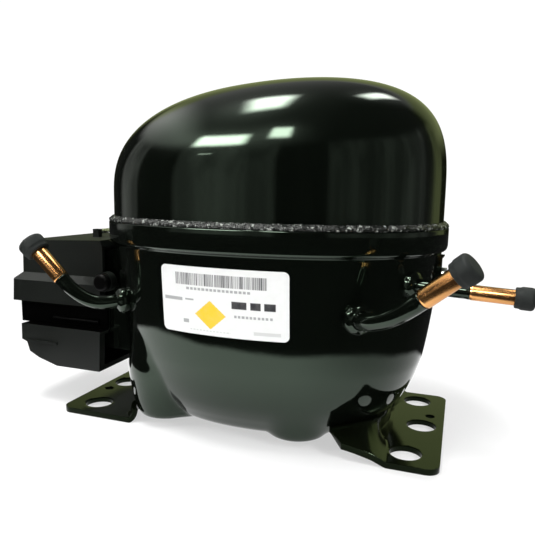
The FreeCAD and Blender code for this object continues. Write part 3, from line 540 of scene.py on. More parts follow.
def smooth_by_angle(obj, degrees):
    for polygon in obj.data.polygons:
        polygon.use_smooth = True
    obj.data.set_sharp_from_angle(angle=math.radians(degrees))


def register(obj, piece, rides="shell"):
    """Stands obj in for the CAD piece and makes it move with another part."""
    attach(obj, rides)
    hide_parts(piece)


# ------------------------------------------------------------------ shell outline
def unit_outline(count, start=0.0):
    """Superellipse of unit half size; start shifts the points by a fraction of a step."""
    points = []
    for i in range(count):
        angle = 2 * math.pi * (i + start) / count
        cos, sin = math.cos(angle), math.sin(angle)
        points.append((math.copysign(abs(cos) ** (2.0 / OUTLINE_POWER), cos),
                       math.copysign(abs(sin) ** (2.0 / OUTLINE_POWER), sin)))
    return points


OUTLINE = unit_outline(384, start=0.5)
BEARINGS = [math.atan2(HALF_Y * uy, HALF_X * ux) for ux, uy in OUTLINE]


def smooth_lookup(table, x):
    """Monotone smooth interpolation of (x, y) points."""
    if x <= table[0][0]:
        return table[0][1]
    if x >= table[-1][0]:
        return table[-1][1]
    chords = [(y1 - y0) / (x1 - x0) for (x0, y0), (x1, y1) in zip(table, table[1:])]
    slopes = [chords[0]]
    for before, after in zip(chords, chords[1:]):
        turns = before * after <= 0
        slopes.append(0.0 if turns else 2 * before * after / (before + after))
    slopes.append(chords[-1])
    i = next(k for k in range(len(chords)) if x <= table[k + 1][0])
    width = table[i + 1][0] - table[i][0]
    t = (x - table[i][0]) / width
    return ((2 * t ** 3 - 3 * t ** 2 + 1) * table[i][1]
            + (t ** 3 - 2 * t ** 2 + t) * width * slopes[i]
            + (-2 * t ** 3 + 3 * t ** 2) * table[i + 1][1]
            + (t ** 3 - t ** 2) * width * slopes[i + 1])


def shell_ring(grow, z, scale=1.0, tilt=0.0):
    """The outline scaled, then grown; tilt raises its +X end and lowers the other."""
    return [(CENTRE_X + (HALF_X * scale + grow) * ux, CENTRE_Y + (HALF_Y * scale + grow) * uy,
             z + tilt * ux) for ux, uy in OUTLINE]


def contour(bearing, z):
    """Outer radius of the bowl from the shell centre, spring pockets included."""
    scale = smooth_lookup(BOWL, z)
    cos, sin = math.cos(bearing), math.sin(bearing)
    radius = (abs(cos / (HALF_X * scale)) ** OUTLINE_POWER
              + abs(sin / (HALF_Y * scale)) ** OUTLINE_POWER) ** (-1.0 / OUTLINE_POWER)
    if z < POCKET_TOP:
        pocket = smooth_lookup(POCKET_RADII, z)
        for x, y in POCKET_CENTRES:
            along = x * cos + y * sin
            aside = abs(x * sin - y * cos)
            if along > 0:
                if aside < pocket:
                    reach = along + math.sqrt(pocket * pocket - aside * aside)
                else:
                    reach = along - 3.0 * (aside - pocket)
                blend = max(0.0, min(1.0, 0.5 + 0.5 * (reach - radius) / POCKET_BLEND))
                radius += (reach - radius) * blend + POCKET_BLEND * blend * (1.0 - blend)
    return radius


# ------------------------------------------------------------------ upper cover
COVER_SKIRT_Z = (98.3, 101.0, 104.0, 106.5, 108.0, 110.0, 113.0, 116.5, 119.5)
DOME_RINGS = 72


def dome_ring(rise, inset):
    """Ring of the dome; rise runs from 0 at its foot to 1 at the crown."""
    points = []
    height = COVER_STRAIGHT + rise * (COVER_HEIGHT - COVER_STRAIGHT - inset)
    for ux, uy in OUTLINE:
        power = DOME_POWER + DOME_POWER_SLOPE * ux
        spread = max(0.0, 1.0 - rise ** power) ** (1.0 / power)
        points.append((CENTRE_X + (HALF_X - inset) * ux * spread,
                       CENTRE_Y + (HALF_Y - inset) * uy * spread,
                       SEAM_Z + height + COVER_TILT * ux * spread * height / COVER_HEIGHT))
    return points


def cover_surface(inset):
    rings = []
    for z in COVER_SKIRT_Z:
        tilt = COVER_TILT * max(0.0, z - SEAM_Z) / COVER_HEIGHT
        rings.append(shell_ring(-inset, z, tilt=tilt))
    for k in range(DOME_RINGS):
        angle = math.pi / 2 * (k / (DOME_RINGS - 1))
        # stops just short of the crown, where a ring would shrink to a point
        rings.append(dome_ring(min(math.sin(angle) ** (2.0 / 2.9), 0.99985), inset))
    top = rings[-1]
    centre = centroid(top)
    for factor in (0.66, 0.33, 0.08):
        rings.append([tuple(c + (p - c) * factor for c, p in zip(centre, point))
                      for point in top])
    return rings


cover = rings_object("upper_cover_vis", cover_surface(WALL)[::-1] + cover_surface(0.0),
                     MATERIALS["enamel"])
register(cover, "upper_cover")

# ------------------------------------------------------------------ lower shell
BASE_Z = 4.0
# Rim outside and over its top edge: z, growth of the outline
RIM = [
    (94.0, -0.10), (94.5, 0.0), (94.75, 0.15), (95.0, 0.6), (95.35, 1.35), (95.8, 1.95),
    (96.5, 2.4), (97.6, 2.65), (99.0, 2.7), (101.5, 2.7), (104.0, 2.7), (105.8, 2.7),
    (106.25, 2.62), (106.48, 2.4), (106.5, 2.0), (106.5, 0.13),
]
# Inside of the bowl, downwards: z, z of the outer contour followed, growth from it
BOWL_INSIDE = [
    (90, 90, -3), (80, 80, -3), (65, 65, -3), (50, 50, -3), (40, 40, -3), (30, 30, -3),
    (24, 24, -3), (18, 18, -3.1), (14, 13, -3.2), (11, 9.5, -3.3), (9, 7, -3.5),
    (7.6, 5.4, -3.8), (7.05, 4.6, -4.5),
]


def bowl_ring(z, contour_z, grow):
    points = []
    for bearing in BEARINGS:
        radius = contour(bearing, contour_z) + grow
        points.append((CENTRE_X + radius * math.cos(bearing),
                       CENTRE_Y + radius * math.sin(bearing), z))
    return points


def floor_rings(edge, factors, z):
    """Copies of the edge ring drawn in towards the shell centre."""
    return [[(CENTRE_X + (x - CENTRE_X) * factor, CENTRE_Y + (y - CENTRE_Y) * factor, z)
             for x, y, _ in edge] for factor in factors]


def lower_shell_rings():
    rings = floor_rings(bowl_ring(BASE_Z, BASE_Z, 0.0),
                        (0.03, 0.3, 0.6, 0.8, 0.9, 0.96, 0.985), BASE_Z)
    z = BASE_Z
    while z < RIM[0][0]:
        rings.append(bowl_ring(z, z, 0.0))
        z += 0.25 if z < 8 else (0.7 if z < 30 else (1.2 if z < 62 else 3.0))
    for z, grow in RIM:
        scale = smooth_lookup(BOWL, z) if z < 94.6 else 1.0
        rings.append(shell_ring(grow, z, scale=scale))
    # socket that the cover drops into, then its ledge
    rings.append(shell_ring(0.12, 98.0))
    rings.append(shell_ring(-WALL, 97.4))
    for z, contour_z, grow in BOWL_INSIDE:
        rings.append(bowl_ring(z, contour_z, grow))
    return rings + floor_rings(rings[-1], (0.8, 0.4, 0.03), 7.02)


lower = rings_object("lower_shell_vis", lower_shell_rings(), MATERIALS["enamel"])
register(lower, "lower_shell")

# ------------------------------------------------------------------ seam weld
# Fillet in the step between rim and cover: distance out from the cover, z
WELD_PROFILE = [
    (0.14, 106.55), (1.2, 106.55), (2.35, 106.62), (2.62, 107.1), (2.45, 107.7),
    (1.95, 108.35), (1.25, 108.95), (0.55, 109.35), (0.14, 109.4),
]
WELD_STEPS = 900
WELD_RIPPLE = 0.55


def weld_rings():
    rings = []
    outline = unit_outline(WELD_STEPS)
    for k, (out, z) in enumerate(WELD_PROFILE):
        # the two edges that touch the shell stay straight
        ripple = 0.0 if k in (0, len(WELD_PROFILE) - 1) else WELD_RIPPLE
        points = []
        for i, (ux, uy) in enumerate(outline):
            angle = i * 2 * math.pi / WELD_STEPS
            cos, sin = math.cos(angle), math.sin(angle)
            coarse = noise.noise(Vector((cos * 42, sin * 42, k * 0.45)))
            fine = noise.noise(Vector((cos * 130, sin * 130, k * 0.9)))
            shift = (coarse * 0.5 + fine * 0.5) * ripple
            grow = max(0.13, min(2.95, out + shift))
            points.append((CENTRE_X + (HALF_X + grow) * ux, CENTRE_Y + (HALF_Y + grow) * uy,
                           z + (shift * 0.8 if k > 1 else 0)))
        rings.append(points)
    return rings + [rings[0]]


weld = rings_object("seam_weld_vis", weld_rings(), MATERIALS["weld"], capped=False)
register(weld, "seam_weld")

# ------------------------------------------------------------------ feet
# A flat plate with a low saddle drawn up against the bowl. Both feet are built on the +X
# side; the left one is then turned half a turn about Z.
PLATE_TOP = 3.0
FOOT_THICKNESS = 2.8
FOOT_GAP = 3.12            # foot's outer face beyond the bowl
FOOT_BEND_RADIUS = 2.6
FOOT_SPAN = math.radians(53)
FOOT_COLUMNS, WALL_ROWS, PLATE_ROWS = 110, 26, 16
RAW_X, RAW_Y = 106.0, 54.0  # plate before trimming
# Bend line of the right foot: distance from the X axis, x
FOOT_BEND = [(0.0, 60.0), (9.3, 65.5), (21.3, 72.0), (29.8, 74.6), (39.6, 75.8), (52.0, 76.8)]
# Top edge of the saddle: distance from the X axis, z
SADDLE_RIGHT = [(0.0, 9.5), (20.0, 11.5), (30.0, 12.5), (38.0, 12.0), (45.0, 10.0), (49.0, 8.0)]
SADDLE_LEFT = [(0.0, 8.0), (20.0, 8.0), (34.0, 8.0), (49.0, 7.0)]
# x, y, radius
FOOT_HOLES = [(85.0, 35.0, 7.5), (85.0, -35.0, 7.5), (89.7, 0.0, 7.5), (93.4, 14.0, 2.5)]
HOLE_SEGMENTS = 64
# Trimmed plate
PLATE_IN_X, PLATE_IN_Y = 45.0, 34.0
PLATE_SHOULDER_X = 57.0
PLATE_X, PLATE_Y, PLATE_CORNER, CORNER_STEPS = 100.8, 48.0, 6.0, 16


def foot_rows(right):
    """Columns of points from the saddle's top edge down and out to the raw plate edge."""
    side = 1 if right else -1
    centre_x, centre_y = side * CENTRE_X, side * CENTRE_Y
    turn = 0.0 if right else math.pi
    saddle = SADDLE_RIGHT if right else SADDLE_LEFT
    bend = sorted({(math.atan2(q * y - centre_y, x - centre_x),
                    math.hypot(x - centre_x, q * y - centre_y))
                   for y, x in FOOT_BEND for q in (-1, 1)})

    def bowl(bearing, z, grow):
        return contour(bearing + turn, z) + grow

    def bend_radius(bearing):
        least = bowl(bearing, 7.5, 3.6)
        return max(least, smooth_lookup(bend, bearing)) if right else least

    def wall_radius(bearing, z, top):
        t = max(0.0, min(1.0, (z - PLATE_TOP) / (top - PLATE_TOP)))
        slope = (1 - t) * bend_radius(bearing) + t * bowl(bearing, top, FOOT_GAP)
        return max(slope, bowl(bearing, z, FOOT_GAP))

    rows = []
    for i in range(FOOT_COLUMNS + 1):
        bearing = -FOOT_SPAN + 2 * FOOT_SPAN * (i / FOOT_COLUMNS)
        cos, sin = math.cos(bearing), math.sin(bearing)

        def at(radius, z):
            return Vector((centre_x + radius * cos, centre_y + radius * sin, z))

        top = smooth_lookup(saddle, abs(centre_y + bowl(bearing, 10.0, 3.1) * sin))
        row = []
        if right:
            # the top edge turns in until it meets the shell
            row = [at(bowl(bearing, top, grow), top + 0.3) for grow in (0.15, 1.6)]
        for j in range(WALL_ROWS + 1):
            z = max(top + (PLATE_TOP - top) * (j / WALL_ROWS), PLATE_TOP)
            flare = FOOT_BEND_RADIUS * 0.55 * math.exp(-(z - PLATE_TOP) / (FOOT_BEND_RADIUS * 0.45))
            row.append(at(wall_radius(bearing, z, top) + flare, z))
        # run out along the flat to the raw edge
        base = row[-1]
        out = Vector((cos, sin, 0))
        run = (RAW_X - base.x) / out.x
        if out.y > 1e-6:
            run = min(run, (RAW_Y - base.y) / out.y)
        if out.y < -1e-6:
            run = min(run, (-RAW_Y - base.y) / out.y)
        run = max(run, 0.3)
        for j in range(1, PLATE_ROWS + 1):
            row.append(Vector((base.x + out.x * run * j / PLATE_ROWS,
                               base.y + out.y * run * j / PLATE_ROWS, PLATE_TOP)))
        rows.append(row)
    return rows


def foot_blank(name, right):
    bm = bmesh.new()
    verts = [[bm.verts.new(point * MM) for point in row] for row in foot_rows(right)]
    for row, following in zip(verts, verts[1:]):
        for j in range(len(row) - 1):
            bm.faces.new((row[j], row[j + 1], following[j + 1], following[j]))
    bmesh.ops.remove_doubles(bm, verts=bm.verts, dist=0.00005)
    bmesh.ops.recalc_face_normals(bm, faces=bm.faces)
    # the plate's normals must point up, so that it thickens downwards
    up = sum(face.normal.z for face in bm.faces
             if face.calc_center_median().z < (PLATE_TOP + 0.1) * MM)
    if up < 0:
        bmesh.ops.reverse_faces(bm, faces=bm.faces)
    obj = bmesh_object(name, bm)
    solidify = obj.modifiers.new("thick", "SOLIDIFY")
    solidify.thickness = FOOT_THICKNESS * MM
    solidify.offset = -1.0
    apply_modifiers(obj)
    return obj


def cut(obj, outlines, bottom, top, operation):
    """Boolean with upright prisms over anticlockwise outlines."""
    bm = bmesh.new()
    for outline in outlines:
        low = [bm.verts.new((x * MM, y * MM, bottom * MM)) for x, y in outline]
        high = [bm.verts.new((x * MM, y * MM, top * MM)) for x, y in outline]
        bm.faces.new(low[::-1])
        bm.faces.new(high)
        for k in range(len(outline)):
            j = (k + 1) % len(outline)
            bm.faces.new((low[k], low[j], high[j], high[k]))
    cutter = bmesh_object("cutter", bm)
    boolean = obj.modifiers.new("cut", "BOOLEAN")
    boolean.operation = operation
    boolean.solver = "EXACT"
    boolean.object = cutter
    apply_modifiers(obj)
    remove_object(cutter)


def hole_outline(x, y, radius):
    angles = [2 * math.pi * k / HOLE_SEGMENTS for k in range(HOLE_SEGMENTS)]
    return [(x + radius * math.cos(angle), y + radius * math.sin(angle)) for angle in angles]


def plate_outline():
    corner = []
    for k in range(CORNER_STEPS + 1):
        angle = math.pi / 2 * k / CORNER_STEPS
        corner.append((PLATE_X - PLATE_CORNER + PLATE_CORNER * math.cos(angle),
                       PLATE_Y - PLATE_CORNER + PLATE_CORNER * math.sin(angle)))
    return ([(PLATE_IN_X, PLATE_IN_Y), (PLATE_IN_X, -PLATE_IN_Y), (PLATE_SHOULDER_X, -PLATE_Y)]
            + [(x, -y) for x, y in corner[::-1]] + corner + [(PLATE_SHOULDER_X, PLATE_Y)])


def build_foot(piece, right):
    obj = foot_blank(piece + "_vis", right)
    cut(obj, [hole_outline(*hole) for hole in FOOT_HOLES], -3.0, 6.5, "DIFFERENCE")
    cut(obj, [plate_outline()], -6.0, 40.0, "INTERSECT")
    if not right:
        obj.data.transform(Matrix.Rotation(math.pi, 4, "Z"))
    add_bevel(obj, width=0.0004, angle=50)
    apply_modifiers(obj)
    smooth_by_angle(obj, 40)
    obj.data.materials.clear()
    obj.data.materials.append(MATERIALS["foot"])
    register(obj, piece)


build_foot("foot_right", right=True)
build_foot("foot_left", right=False)

# ------------------------------------------------------------------ tubes
# exit, normal: where the tube leaves the shell and the way it points there
# elbow: centreline outside the shell; stub_end: end of the straight copper stub
# cap_wall: cap's thickness over the stub; bead_seed: offset in the bead's noise
TUBES = {
    "process": dict(
        exit=(-61.1, -46.6, 66.0), normal=(-0.635, -0.772, 0.0), radius=3.6, stub_radius=4.0,
        elbow=[(-64.9, -51.0, 65.6), (-68.8, -54.4, 65.6), (-73.0, -56.9, 67.0),
               (-77.4, -58.7, 69.6), (-82.2, -60.0, 73.4), (-86.6, -60.7, 77.8)],
        stub_end=(-102.1, -61.6, 93.0), cap_wall=2.6, bead_seed=1.0),
    "suction": dict(
        exit=(63.6, -52.4, 68.5), normal=(0.525, -0.851, 0.0), radius=3.9, stub_radius=4.2,
        elbow=[(66.2, -56.2, 68.7), (69.6, -59.3, 69.3), (74.6, -62.0, 71.0),
               (80.6, -64.6, 74.2), (86.6, -66.7, 78.7), (90.8, -68.0, 82.2)],
        stub_end=(105.5, -72.2, 94.7), cap_wall=1.9, bead_seed=5.0),
    "discharge": dict(
        exit=(84.3, -32.8, 82.3), normal=(0.831, -0.556, 0.0), radius=3.1, stub_radius=3.4,
        elbow=[(88.4, -34.9, 82.2), (93.5, -35.9, 82.0), (101.0, -36.6, 81.7),
               (108.4, -37.0, 81.4)],
        stub_end=(129.5, -38.2, 80.5), cap_wall=1.5, bead_seed=9.0),
}
TUBE_WALL, STUB_WALL = 1.0, 0.9
TUBE_SEGMENTS, LATHE_SEGMENTS = 40, 56
PATH_STEPS, RELAX_PASSES = 12, 30
UP = Vector((0, 0, 1))


def smooth_path(points):
    """Catmull-Rom curve, relaxed so that the bend reads as one arc."""
    path = []
    for i in range(len(points) - 1):
        p0, p1, p2 = points[max(0, i - 1)], points[i], points[i + 1]
        p3 = points[min(len(points) - 1, i + 2)]
        for k in range(PATH_STEPS):
            t = k / PATH_STEPS
            path.append(0.5 * (2 * p1 + (p2 - p0) * t + (2 * p0 - 5 * p1 + 4 * p2 - p3) * t * t
                               + (3 * p1 - p0 - 3 * p2 + p3) * t ** 3))
    path.append(points[-1])
    for _ in range(RELAX_PASSES):
        relaxed = path[:]
        for i in range(1, len(path) - 1):
            relaxed[i] = path[i] * 0.5 + (path[i - 1] + path[i + 1]) * 0.25
        path = relaxed
    return path


def circle(centre, side, other, radius, segments):
    points = []
    for i in range(segments):
        angle = 2 * math.pi * i / segments
        points.append(tuple(centre + side * (radius * math.cos(angle))
                            + other * (radius * math.sin(angle))))
    return points


def tube_rings(path, radius_at):
    """Rings along a path; radius_at takes 0..1 along it."""
    rings = []
    side = None
    last = len(path) - 1
    for i, centre in enumerate(path):
        along = (path[min(i + 1, last)] - path[max(i - 1, 0)]).normalized()
        if side is None:
            side = along.cross(UP).normalized()
        side = (side - along * side.dot(along)).normalized()
        rings.append(circle(centre, side, along.cross(side), radius_at(i / last), TUBE_SEGMENTS))
    return rings


def lathe_rings(origin, axis, profile):
    """Rings about an axis; the profile holds (distance along it, radius)."""
    axis = axis.normalized()
    side = axis.cross(UP).normalized()
    other = axis.cross(side)
    return [circle(origin + axis * along, side, other, radius, LATHE_SEGMENTS)
            for along, radius in profile]


def build_elbow(key, path, radius):
    """Painted elbow, swollen a little at the joint with the stub."""
    def outer_radius(t):
        return radius + 0.18 * math.exp(-((t - 1.0) / 0.03) ** 2) + 0.02 * math.sin(t * 30)

    outer = tube_rings(path, outer_radius)
    inner = tube_rings(path, lambda t: radius - TUBE_WALL)[::-1]
    obj = rings_object(key + "_elbow_vis", outer + inner + [outer[0]], MATERIALS["enamel"],
                       capped=False)
    register(obj, key + "_elbow")


def build_stub(key, start, axis, tube_radius, radius):
    """Bare copper stub with a rolled lip at the elbow end."""
    length = axis.length
    bore = radius - STUB_WALL
    start_point = (0.05, tube_radius - STUB_WALL)
    profile = [
        start_point, (0.05, tube_radius + 0.05), (0.12, radius - 0.25), (0.5, radius - 0.05),
        (1.0, radius), (length * 0.5, radius - 0.03), (length - 0.6, radius),
        (length - 0.1, radius - 0.12), (length, radius - 0.4), (length, bore),
        (length * 0.5, bore), start_point,
    ]
    obj = rings_object(key + "_stub_vis", lathe_rings(start, axis, profile),
                       MATERIALS["copper"], capped=False)
    smooth_by_angle(obj, 50)
    register(obj, key + "_stub")


def build_cap(key, end, axis, stub_radius, wall):
    """Moulded plug cap: short skirt, flared body, rounded closed end."""
    outer, bore = stub_radius + wall, stub_radius + 0.06
    mouth, crown = -3.5, 4.5
    mouth_lip = (mouth + 0.2, bore + 0.02)
    inside = [(0.12, 0.3), (0.12, bore - 0.3), (0.0, bore), (mouth + 1.5, bore), mouth_lip]
    outside = [
        mouth_lip, (mouth, bore + 0.3), (mouth, outer - 0.9), (mouth + 0.2, outer - 0.55),
        (mouth + 0.6, outer - 0.45), (mouth + 1.7, outer - 0.42), (mouth + 2.1, outer - 0.28),
        (mouth + 2.5, outer - 0.05), (mouth + 3.0, outer), (crown - 1.9, outer),
        (crown - 1.3, outer - 0.08), (crown - 0.7, outer - 0.4), (crown - 0.3, outer - 0.9),
        (crown - 0.06, outer - 1.6), (crown, outer - 2.4), (crown, 0.4),
    ]
    obj = rings_object(key + "_cap_vis", lathe_rings(end, axis, inside + outside),
                       MATERIALS["rubber"])
    smooth_by_angle(obj, 55)
    register(obj, key + "_cap", rides=key + "_plug")


def build_collar(key, origin, normal, radius, seed):
    """Drawn sleeve and brazed bead where the tube leaves the shell."""
    # distance along the tube, growth from its radius
    profile = [
        (-4.0, 0.06), (-4.0, 1.9), (-1.2, 3.2), (0.0, 3.1), (0.8, 2.8), (1.5, 2.3), (2.1, 1.6),
        (2.5, 1.0), (2.9, 0.5), (3.0, 0.1), (2.0, 0.06), (-4.0, 0.06),
    ]
    rings = lathe_rings(origin, normal, [(along, radius + grow) for along, grow in profile])
    obj = rings_object("c_" + key, rings, MATERIALS["enamel"], capped=False)
    # make the bead uneven, but never thinner than the tube
    for vert in obj.data.vertices:
        offset = vert.co / MM - origin
        along = offset.dot(normal)
        out = offset - normal * along
        if along > -1.0 and out.length > radius + 0.3:
            place = Vector((out.x * 0.45 + seed, out.y * 0.45, out.z * 0.45))
            bulge = noise.noise(place) * 0.5
            vert.co += (out.normalized() * bulge + normal * bulge * 0.6) * MM
    return obj


def build_tube(key, tube):
    """Builds one tube and returns its collar."""
    normal = Vector(tube["normal"]).normalized()
    start, end = Vector(tube["exit"]), Vector(tube["stub_end"])
    elbow = [Vector(point) for point in tube["elbow"]]
    axis = end - elbow[-1]
    path = smooth_path([start - normal * 6.0, start - normal * 1.0, start + normal * 2.0] + elbow)
    build_elbow(key, path, tube["radius"])
    build_stub(key, elbow[-1], axis, tube["radius"], tube["stub_radius"])
    build_cap(key, end, axis, tube["stub_radius"], tube["cap_wall"])
    return build_collar(key, start, normal, tube["radius"], tube["bead_seed"])


def join(objects, name, material):
    bm = bmesh.new()
    for obj in objects:
        bm.from_mesh(obj.data)
        remove_object(obj)
    joined = bmesh_object(name, bm)
    joined.data.materials.append(material)
    for polygon in joined.data.polygons:
        polygon.use_smooth = True
    return joined


collars = join([build_tube(key, tube) for key, tube in TUBES.items()], "tube_collars_vis",
               MATERIALS["enamel"])
register(collars, "tube_collars")

# ------------------------------------------------------------------ rating label
LABEL_X, LABEL_Z = 3.6, 73.1
LABEL_W, LABEL_H = 62.8, 31.7
LABEL_CORNER = 2.5
LABEL_TURN = math.radians(0.2)
LABEL_COLUMNS, LABEL_ROWS = 320, 160
LABEL_FACE, LABEL_BACK = 0.32, 0.12  # distances off the shell

# The print is laid out on this size, in mm, and stretched to the label
PRINT_W, PRINT_H = 51.5, 26.2
PAPER = (0.80, 0.81, 0.80)
INK = (0.035, 0.035, 0.04)
HEADLINE_INK = (0.09, 0.09, 0.095)
GREY = (0.36, 0.37, 0.37)
PALE = (0.62, 0.63, 0.62)
AMBER = (0.86, 0.56, 0.02)
LABEL_EDGE = (0.7, 0.7, 0.68)
# left, right, top, bottom, dash period, inked fraction, dash offset, colour
PRINT_BLOCKS = [
    (11.0, 37.5, 8.0, 9.0, 1.65, 0.72, 0.0, GREY),
    (1.4, 9.6, 12.2, 13.5, 1.0, 1.0, 0.0, GREY),
    (10.8, 14.6, 12.4, 13.1, 1.0, 1.0, 0.0, GREY),
    (30.2, 36.0, 12.0, 14.8, 1.0, 1.0, 0.0, INK),
    (37.4, 41.2, 12.0, 14.8, 1.0, 1.0, 0.0, INK),
    (42.6, 46.8, 12.0, 14.8, 1.0, 1.0, 0.0, INK),
    (31.2, 45.8, 17.3, 18.3, 1.5, 0.66, 0.4, GREY),
    (9.8, 12.2, 20.6, 22.0, 1.0, 1.0, 0.0, GREY),
    (12.5, 29.5, 24.1, 24.7, 1.4, 0.6, 0.0, PALE),
    (38.6, 48.6, 23.0, 24.3, 1.0, 1.0, 0.0, PALE),
]


def print_colour(u, v):
    """Colour of the print at u to the right and v down: bars and blocks, no lettering."""
    if 6.6 < u < 43.6 and 2.6 < v < 7.2:
        # headline of uneven upright bars
        bars = math.sin(u * 9.1) + math.sin(u * 14.3 + 1.7) + 0.7 * math.sin(u * 23.0 + 0.6)
        return HEADLINE_INK if bars > -0.25 else PAPER
    # lozenge
    if abs(u - 21.4) / 6.4 + abs(v - 18.1) / 5.6 < 1.0:
        return AMBER
    for left, right, top, bottom, period, duty, offset, colour in PRINT_BLOCKS:
        if left < u < right and top < v < bottom and (u + offset) % period < period * duty:
            return colour
    return PAPER


def front_wall_y(x, z, grow):
    """Front (-Y) wall of the bowl at x, z."""
    scale = smooth_lookup(BOWL, z)
    t = max(0.0, 1.0 - (abs(x - CENTRE_X) / (HALF_X * scale + grow)) ** OUTLINE_POWER)
    return CENTRE_Y - (HALF_Y * scale + grow) * t ** (1.0 / OUTLINE_POWER)


def round_corner(u, v):
    """Pulls the grid's square corners in to round ones."""
    du = LABEL_CORNER - min(u, LABEL_W - u)
    dv = LABEL_CORNER - min(v, LABEL_H - v)
    if du > 0 and dv > 0:
        pull = max(du, dv) / math.hypot(du, dv)
        from_u, from_v = LABEL_CORNER - du * pull, LABEL_CORNER - dv * pull
        u = from_u if u < LABEL_W / 2 else LABEL_W - from_u
        v = from_v if v < LABEL_H / 2 else LABEL_H - from_v
    return u, v


def label_print():
    m = Material("label_print", (0.8, 0.8, 0.78), rough=0.32, coat=0.25, coat_rough=0.15)
    attribute = m.add("Attribute")
    attribute.attribute_name = "print"
    printed = Signal(m, attribute.outputs["Color"])
    grime = m.noise(scale=300, detail=3)
    amount = m.remap(grime, to=(0.0, 0.12), over=(0.4, 0.8))
    m.color(m.mix(amount, printed, (0.55, 0.54, 0.5)))
    m.rough(grime, to=(0.28, 0.4))
    m.bump(m.noise(scale=140, detail=2), strength=0.04, distance=0.0003)
    return m.mat


def build_label():
    verts, faces, colours = [], [], []
    cos, sin = math.cos(LABEL_TURN), math.sin(LABEL_TURN)
    for j in range(LABEL_ROWS + 1):
        for i in range(LABEL_COLUMNS + 1):
            u, v = round_corner(LABEL_W * i / LABEL_COLUMNS, LABEL_H * j / LABEL_ROWS)
            right, up = u - LABEL_W / 2, LABEL_H / 2 - v
            x = LABEL_X + right * cos + up * sin
            z = LABEL_Z - right * sin + up * cos
            verts.append((x, front_wall_y(x, z, LABEL_FACE), z))
            colours.append(print_colour(u * PRINT_W / LABEL_W, v * PRINT_H / LABEL_H))
    stride = LABEL_COLUMNS + 1
    for j in range(LABEL_ROWS):
        for i in range(LABEL_COLUMNS):
            k = j * stride + i
            faces.append((k, k + stride, k + stride + 1, k + 1))
    # a narrow skirt closes the edge down to the shell
    border = list(range(LABEL_COLUMNS))
    border += [j * stride + LABEL_COLUMNS for j in range(LABEL_ROWS)]
    border += [LABEL_ROWS * stride + i for i in range(LABEL_COLUMNS, 0, -1)]
    border += [j * stride for j in range(LABEL_ROWS, 0, -1)]
    first = len(verts)
    for index in border:
        x, _, z = verts[index]
        verts.append((x, front_wall_y(x, z, LABEL_BACK), z))
        colours.append(LABEL_EDGE)
    for k in range(len(border)):
        j = (k + 1) % len(border)
        faces.append((border[k], border[j], first + j, first + k))

    obj = mesh_object("rating_label_vis", verts, faces, label_print())
    layer = obj.data.color_attributes.new("print", "FLOAT_COLOR", "POINT")
    for entry, colour in zip(layer.data, colours):
        entry.color = (*colour, 1.0)
    smooth_by_angle(obj, 60)
    register(obj, "rating_label")


build_label()

# ------------------------------------------------------------------ floor
FLOOR_HALF = 1600.0


def floor_white():
    """White sweep: shaded near the object, burnt out to white further off.
    In reflections it glows as a lit sheet with an edge: a painted reflection of a lit table top."""
    m = Material("floor_white", (0.82, 0.82, 0.82), rough=0.8)
    m.color(m.mix(m.noise(scale=3, detail=2), (0.82, 0.82, 0.82), (0.80, 0.80, 0.80)))
    position = m.value("NewGeometry", output="Position")
    x, y, z = m.separate(position)

    def oval(centre, half, power=2.0):
        """Distance from a centre, 1 on a superellipse of the given half sizes."""
        part_x = abs((x - centre[0]) / half[0]) ** power
        part_y = abs((y - centre[1]) / half[1]) ** power
        return (part_x + part_y) ** (1.0 / power)

    far = m.math("MAXIMUM", m.step(oval((0.0, -0.01), (0.19, 0.15)), 0.60, 1.08), 0.5)
    burnt = m.value("Emission", Color=(1, 1, 1), Strength=1.06)
    seen = m.mix_shader(far, m.surface, burnt)

    # the reflected sheet is an emission, a painted reflection of the lit table top: its edge
    # wavers, it is painted lighter towards -X, and a painted shadow dims it under the shell
    waver = m.value("TexNoise", Scale=9.0, Detail=2.0, Vector=position)
    edge = oval((-0.015, 0.0), (0.188, 0.150), power=2.3) + (waver - 0.5) * 0.10
    inside = 1.0 - m.step(edge, 0.955, 1.03)
    leftward = m.step(x, 0.16, 0.03)
    # painted shadow of the shell on the reflected sheet
    clear = m.step(oval((0.004, 0.003), (0.052, 0.044), power=2.2), 0.9, 2.6)
    level = (leftward * 1.05 + 0.85) * (clear * 0.6 + 0.4)
    reflected = m.value("Emission", Color=(1.0, 1.0, 1.0), Strength=inside * level + 0.02)

    # diffuse rays meet plain white board
    rays = m.add("LightPath").outputs
    shader = m.mix_shader(Signal(m, rays["Is Glossy Ray"]), seen, reflected)
    shader = m.mix_shader(Signal(m, rays["Is Diffuse Ray"]), shader, m.surface)
    m.feed(m.output.inputs[0], shader)
    return m.mat


floor = mesh_object("floor", [(x * FLOOR_HALF, y * FLOOR_HALF, 0)
                              for x, y in ((-1, -1), (1, -1), (1, 1), (-1, 1))],
                    [(0, 1, 2, 3)], floor_white())

# ------------------------------------------------------------------ world
DEGREES = 57.29578
# Room walls by bearing in degrees, from -Y towards +X: start, end, level, edge softness
WALL_PANELS = [
    (-105, -82, 0.34, 3), (-50, -17, 0.42, 2.5), (-17, -1, 0.24, 2), (29, 62, 0.17, 2.5),
    (62, 92, 0.21, 2), (92, 118, 0.26, 3), (118, 134, 0.07, 2), (134, 151, 0.30, 4),
]


